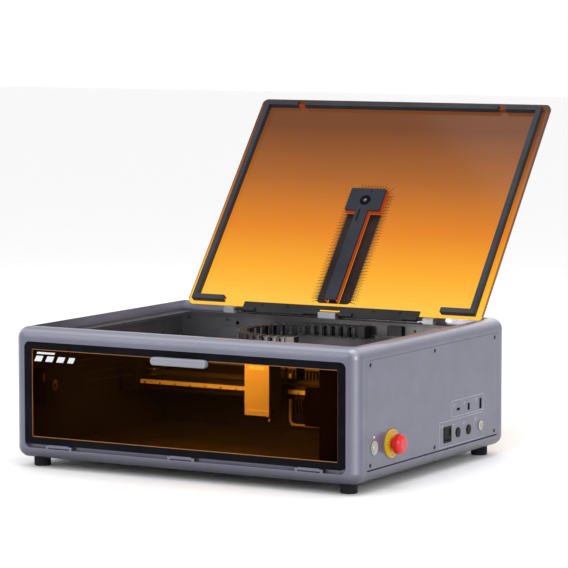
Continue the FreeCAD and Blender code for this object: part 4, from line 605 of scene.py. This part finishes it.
piece("rear_plate_lines", lines, rocker_black, "housing")

# ------------------------------------------------------------------ lid: printed patch, lens and slot
# A dark patch is screen-printed round the camera and breaks up into tapered strokes at its edge.
# The lens has a black ring round a glass bead, and four screws hold the hinge strip.
ink = surface("lid_ink", (0.012, 0.006, 0.006), 0.5, vary=0.3, strength=0.15, shine=0.1)
patch = bmesh.new()
PATCH_X, PATCH_T, PATCH_CORNER = (-29.0, 29.0), (12.0, 222.0), 6
STROKE_PITCH, SHORT_STROKE = 2.7, 0.72
STROKE_REACH, STRIP_TOP = 11, 9


def lid_plate(mesh, points, low=4.02, high=4.12):
    """Adds a flat patch on the lid's inner face."""
    add_plate(mesh, [on_lid(x, t, low) for x, t in points], INWARD * ((high - low) / 1000))


lid_plate(patch, rounded(PATCH_X, PATCH_T, PATCH_CORNER))
ring = rounded(PATCH_X, PATCH_T, PATCH_CORNER, 3)
strokes = 0
for i in range(len(ring)):
    start, end = Vector(ring[i - 1]), Vector(ring[i])
    side = (end - start).normalized()
    out = Vector((side.y, -side.x))
    for k in range(max(1, round((end - start).length / STROKE_PITCH))):
        root = start + (k + 0.5) * STROKE_PITCH * side
        if root.y + out.y * STROKE_REACH < STRIP_TOP:
            continue
        short = SHORT_STROKE if strokes % 2 else 1.0
        for near, far, wide in ((0.0, 7.0, 1.1), (7.6, 10.0, 0.8), (10.5, 12.4, 0.5)):
            lift, tip = near * short, far * short
            points = [root + out * lift - side * wide, root + out * lift + side * wide,
                      root + out * tip + side * wide * 0.3, root + out * tip - side * wide * 0.3]
            lid_plate(patch, [(q.x, q.y) for q in points])
        strokes += 1
piece("lid_print", patch, ink, "lid")

LID_TURN = Matrix((Vector((1, 0, 0)), ALONG, INWARD)).transposed().to_4x4()
# This near-black is the lens ring's own colour and painted shade for the slot and hole.
black_and_opening_shade = surface("black_and_opening_shade", (0.001, 0.001, 0.0015), 0.6, vary=0.3, shine=0.02)
LENS_T = 197
lens = bmesh.new()
add_rod(lens, on_lid(0, LENS_T, 15.6), LID_TURN, 9.2, 1.6, 0.5, 40)
piece("lens_ring", lens, black_and_opening_shade, "lid")
glass_bead = bmesh.new()
bmesh.ops.create_uvsphere(glass_bead, u_segments=28, v_segments=14, radius=0.0042,
                          matrix=Matrix.Translation(on_lid(0, LENS_T, 13.6)))
lens_glass = surface("lens_glass", (0.02, 0.02, 0.05), 0.03, vary=0.1, coat=1.0)
piece("lens_bead", glass_bead, lens_glass, "lid")
# The slot and the small hole beside it are flat black patches, painted shade for openings in the cover.
slot_mesh = bmesh.new()
add_box(slot_mesh, (-4.6, -2.4), (158, 180), (15.9, 16.25), 0.1, on_lid)
add_rod(slot_mesh, on_lid(6, 214, 16.0), LID_TURN, 1.3, 0.5, 0.1, 16)
piece("camera_slot", slot_mesh, black_and_opening_shade, "lid")
strip_screws = bmesh.new()
for x in (-120, -75, 75, 120):
    add_rod(strip_screws, on_lid(x, 1.5, 6.7), LID_TURN, 2.3, 0.9, 0.3, 20)
    add_box(strip_screws, (x - 1.4, x + 1.4), (1.2, 1.8), (7.0, 7.25), 0, on_lid)
piece("strip_screws", strip_screws, screw_steel, "lid")

# ------------------------------------------------------------------ laser head: front plate, fan, probe
# A pale brushed plate covers the module's front and hangs below it; a small fan on top blows down
# through its fins. Behind the plate's lower edge hangs the height probe, a stepped pin of bright steel.
module_x, module_y, module_z = spans("laser_housing")
module_face = module_y[0]
PLATE_HANG = 9
plate_pale = surface("plate_pale", (0.50, 0.48, 0.44), 0.45, metal=0.1, vary=0.04, grain=900.0,
                     stretch=(1.0, 1.0, 0.05), strength=0.15)
cover = bmesh.new()
plate_outline = rounded((module_x[0] + 0.3, module_x[1] - 0.3),
                        (module_z[0] - PLATE_HANG, module_z[1] - 0.3), 1.6)
front = add_plate(cover, [mm(x, module_face - 0.05, z) for x, z in plate_outline], Vector((0, -0.0012, 0)))
bmesh.ops.inset_region(cover, faces=[front], thickness=0.0004, depth=0.0003)
for x in (module_x[0] + 3.5, module_x[1] - 3.5):
    for z in (module_z[0] - 5.5, module_z[1] - 3.5):
        add_rod(cover, mm(x, module_face - 1.8, z), "y", 1.3, 0.6, 0.2, 16)
piece("module_front", cover, plate_pale, "head")
cover_mark = bmesh.new()
mark_y = (module_face - 1.75, module_face - 1.5)
for x, width in ((module_x[0] + 8, 9), (module_x[0] + 18.5, 4), (module_x[0] + 24, 9)):
    add_box(cover_mark, (x, x + width), mark_y, (module_z[1] - 21, module_z[1] - 15.5))
add_box(cover_mark, (module_x[0] + 2.5, module_x[1] - 2.5), mark_y, (module_z[0] - 1.4, module_z[0] - 0.6))
mark_pale = surface("mark_pale", (0.93, 0.92, 0.84), 0.5, vary=0.05)
piece("module_mark", cover_mark, mark_pale, "head")
fan = bmesh.new()
fan_x, fan_y, fan_z = sum(module_x) / 2, module_face + 17.5, module_z[1]
BLADES = 9
blade = (Matrix.Translation((0.0095, 0, 0)) @ Matrix.Rotation(0.5, 4, "X")
         @ Matrix.Diagonal((0.008, 0.005, 0.0006, 1)))
add_rod(fan, mm(fan_x, fan_y, fan_z + 1.0), "z", 6, 2.4, 0.5, 28)
for i in range(BLADES):
    place = Matrix.Translation(mm(fan_x, fan_y, fan_z + 0.9)) @ Matrix.Rotation(math.tau * i / BLADES, 4, "Z")
    bmesh.ops.create_cube(fan, size=1, matrix=place @ blade)
piece("module_fan", fan, rocker_black, "head")
fan_frame = bmesh.new()
for radius in (15.4, 11.5, 8.2):
    bmesh.ops.create_circle(fan_frame, segments=40, radius=radius / 1000,
                            matrix=Matrix.Translation(mm(fan_x, fan_y, fan_z + 2.6)))
grown = bmesh.ops.extrude_edge_only(fan_frame, edges=list(fan_frame.edges))["geom"]
bmesh.ops.translate(fan_frame, vec=(0, 0, 0.0007),
                    verts=[g for g in grown if isinstance(g, bmesh.types.BMVert)])
bmesh.ops.solidify(fan_frame, geom=list(fan_frame.faces), thickness=0.0006)
piece("module_fan_guard", fan_frame, screw_steel, "head")
probe = bmesh.new()
probe_x, probe_y = module_x[1] - 4, module_face + 6
for drop, radius, length, round_off, sides in ((10, 1.5, 16, 0.3, 20), (16, 2.2, 3, 0.4, 20),
                                               (3, 3.0, 6, 0.5, 24)):
    add_rod(probe, mm(probe_x, probe_y, module_z[0] - drop), "z", radius, length, round_off, sides)
piece("height_probe", probe, bright_steel, "head")

# ------------------------------------------------------------------ gantry: screws, groove, motor caps
# Cap screws hold the rail along the beam and the end blocks on their slides; a dark strip on the rail is
# painted shade for its groove.
# The x motor's square body has a slightly wider cast cap at each end.
beam_x = spans("gantry_beam")[0]
_, rail_y, rail_z = spans("linear_rail")
rail_face, rail_middle = rail_y[0], sum(rail_z) / 2
RAIL_SCREWS, SCREW_INSET = 15, 12
HEAD_X, HEAD_CLEAR = 13, 26
heads = bmesh.new()
for i in range(RAIL_SCREWS):
    x = beam_x[0] + SCREW_INSET + i * (beam_x[1] - beam_x[0] - 2 * SCREW_INSET) / (RAIL_SCREWS - 1)
    if abs(x - HEAD_X) > HEAD_CLEAR:
        add_rod(heads, mm(x, rail_face - 0.05, rail_middle), "y", 1.5, 0.5, 0.1, 16)
for block_x in (beam_x[0] - 13, beam_x[1] + 13):
    for x, y in ((block_x - 8, 4), (block_x + 8, 4), (block_x - 8, 32), (block_x + 8, 32)):
        add_rod(heads, mm(x, y, 150.3), "z", 2.4, 1.2, 0.4, 20)
    for z in (97, 107):
        add_rod(heads, mm(block_x, -2.4, z), "y", 2.4, 1.2, 0.4, 20)
# The dark strip stands for the shadow in the rail's groove: painted shade.
groove_shade = bmesh.new()
add_box(groove_shade, beam_x, (rail_face - 0.12, rail_face + 0.1), (rail_middle - 4, rail_middle - 1.6))
piece("rail_groove", groove_shade, black_plastic, "gantry")
piece("gantry_screws", heads, screw_steel, "gantry")
motor_x, motor_y, _ = spans("x_motor")
CAP_PROUD = 0.3
stack = bmesh.new()
for z in ((62.5, 69), (85, 91.5)):
    add_box(stack, (motor_x[0] - CAP_PROUD, motor_x[1] + CAP_PROUD),
            (motor_y[0] - CAP_PROUD, motor_y[1] + CAP_PROUD), z, 1.0)
piece("motor_caps", stack, dark_aluminium, "gantry")

# ------------------------------------------------------------------ cable chain
# A drag chain of moulded nylon links laid on its side, from the gantry to the rear wall.
# Each link is two flat cheeks with a snap-in bar at either face.
chain_x, chain_y, chain_z = spans("cable_chain")
WIDE = 15.0
bend_y = sum(chain_y) / 2
bend_r = (chain_y[1] - chain_y[0] - WIDE) / 2
bend_x = chain_x[0] + bend_r + WIDE / 2
NEAR_END = 38.95
near_run, half_ring = NEAR_END - bend_x, math.pi * bend_r
chain_length = near_run + half_ring + chain_x[1] - bend_x


def on_chain(s, across, z):
    """A point in millimetres along the chain from the gantry, across it towards the outside, and up."""
    if s < near_run:
        return mm(NEAR_END - s, bend_y - bend_r - across, z)
    if s > near_run + half_ring:
        return mm(bend_x + s - near_run - half_ring, bend_y + bend_r + across, z)
    turn = (s - near_run) / bend_r
    return mm(bend_x - (bend_r + across) * math.sin(turn), bend_y - (bend_r + across) * math.cos(turn), z)


links = bmesh.new()
LINKS = 25
pitch = chain_length / LINKS
for i in range(LINKS):
    s = i * pitch
    for start, end, low, high in ((0.5, pitch * 0.62, 0.0, 1.9), (pitch * 0.38, pitch - 0.5, 0.9, 2.6)):
        for z in ((chain_z[0] + low, chain_z[0] + high), (chain_z[1] - high, chain_z[1] - low)):
            add_box(links, (s + start, s + end), (-WIDE / 2 + low * 0.4, WIDE / 2 - low * 0.4), z,
                    0.4, on_chain)
    for across in ((-WIDE / 2 + 0.2, -WIDE / 2 + 2.0), (WIDE / 2 - 2.0, WIDE / 2 - 0.2)):
        add_box(links, (s + pitch * 0.28, s + pitch * 0.72), across, (chain_z[0] + 1.6, chain_z[1] - 1.6),
                0.4, on_chain)
chain_links = piece("chain_links", links, black_plastic, None)
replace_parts(chain_links, "cable_chain")
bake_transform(chain_links)

# ------------------------------------------------------------------ head cable
# A short round cable with a black rubber skin loops from the top of the laser module to its carriage.
# It is held at both ends and rides along with the head.
TUBE_STEPS = 8


def tube_along(name, spots, radius, material, body):
    """Makes a round tube on a body, smooth through points in millimetres; returns it and its length."""
    ends = [Vector(spot) for spot in (spots[0], *spots, spots[-1])]
    line = [mm(*spots[0])]
    for p0, p1, p2, p3 in zip(ends, ends[1:], ends[2:], ends[3:]):
        for k in range(1, TUBE_STEPS + 1):
            t = k / TUBE_STEPS
            cubic = ((3 * p1 - p0 - 3 * p2 + p3) * t + (2 * p0 - 5 * p1 + 4 * p2 - p3)) * t + p2 - p0
            line.append(mm(*(cubic * t / 2 + p1)))
    data = bpy.data.curves.new(name, "CURVE")
    data.dimensions = "3D"
    data.bevel_depth = radius / 1000
    data.bevel_resolution = 4
    data.use_fill_caps = True
    run = data.splines.new("POLY")
    run.points.add(len(line) - 1)
    for point, spot in zip(run.points, line):
        point.co = (*spot, 1)
    data.materials.append(material)
    thing = bpy.data.objects.new(name, data)
    bpy.context.scene.collection.objects.link(thing)
    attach(thing, body)
    return thing, sum((q - p).length for p, q in zip(line, line[1:]))


cable_skin = surface("cable_skin", (0.012, 0.012, 0.013), 0.5, vary=0.25)
head_cable, cable_length = tube_along(
    "head_cable", ((34, -22, 150), (38, -21.5, 150), (42, -18, 148.5), (43, -12, 144.5), (42.5, -6, 139),
                   (40, -1.5, 133), (36.5, 1, 127), (34, 1.5, 120)), 1.6, cable_skin, "head")

# ------------------------------------------------------------------ chamber: vent tube, bars, screws, tag
# A bright bent tube runs down beside the rear wall's vent and along under it, in front of a row of bars.
# The liner sheets are held by dark pan-head screws; a small pale tag is stuck on an idler's bracket.
vent_grey = surface("vent_grey", (0.16, 0.155, 0.15), 0.45, vary=0.1)
bright_tube = surface("bright_tube", (0.85, 0.82, 0.74), 0.4, vary=0.05)
TUBE_Y = 143
tube_route = ((-35, 110), (-35, 76), (-35, 42), (-34.2, 37), (-32, 34), (-28, 32.2), (-22, 32),
              (90, 32), (212, 32))
tube_along("vent_tube", [(x, TUBE_Y, z) for x, z in tube_route], 2.0, bright_tube,
           "housing")
bars = bmesh.new()
VENT_BARS, VENT_WIDTH = 18, 100
for i in range(VENT_BARS):
    x = -34 + i * VENT_WIDTH / (VENT_BARS - 1)
    add_box(bars, (x - 0.8, x + 0.8), (146.6, 148.1), (46, 116), 0.3)
add_box(bars, (-36, 68), (146.2, 148.1), (115, 117.5), 0.3)
piece("vent_bars", bars, vent_grey, "housing")
LEFT_WALL, REAR_WALL, UPPER_WALL = -259.6, 147.6, 196.6
dots = bmesh.new()
for y in (-180, -60, 60, 136):
    for z in (34, 84, 160):
        add_rod(dots, mm(LEFT_WALL, y, z), "x", 2.4, 1.4, 0.4, 20)
for x in (-244, -150, -60, 196):
    for z in (34, 140):
        add_rod(dots, mm(x, REAR_WALL, z), "y", 2.4, 1.4, 0.4, 20)
for x in (-248, -178, 60, 150, 205):
    add_rod(dots, mm(x, UPPER_WALL, 180), "y", 2.0, 1.4, 0.4, 20)
piece("chamber_screws", dots, screw_steel, "housing")
tag = bmesh.new()
add_box(tag, (-241.5, -238.0), (-221.4, -221.05), (126, 138), 0.1)
piece("bracket_tag", tag, print_grey, "housing")
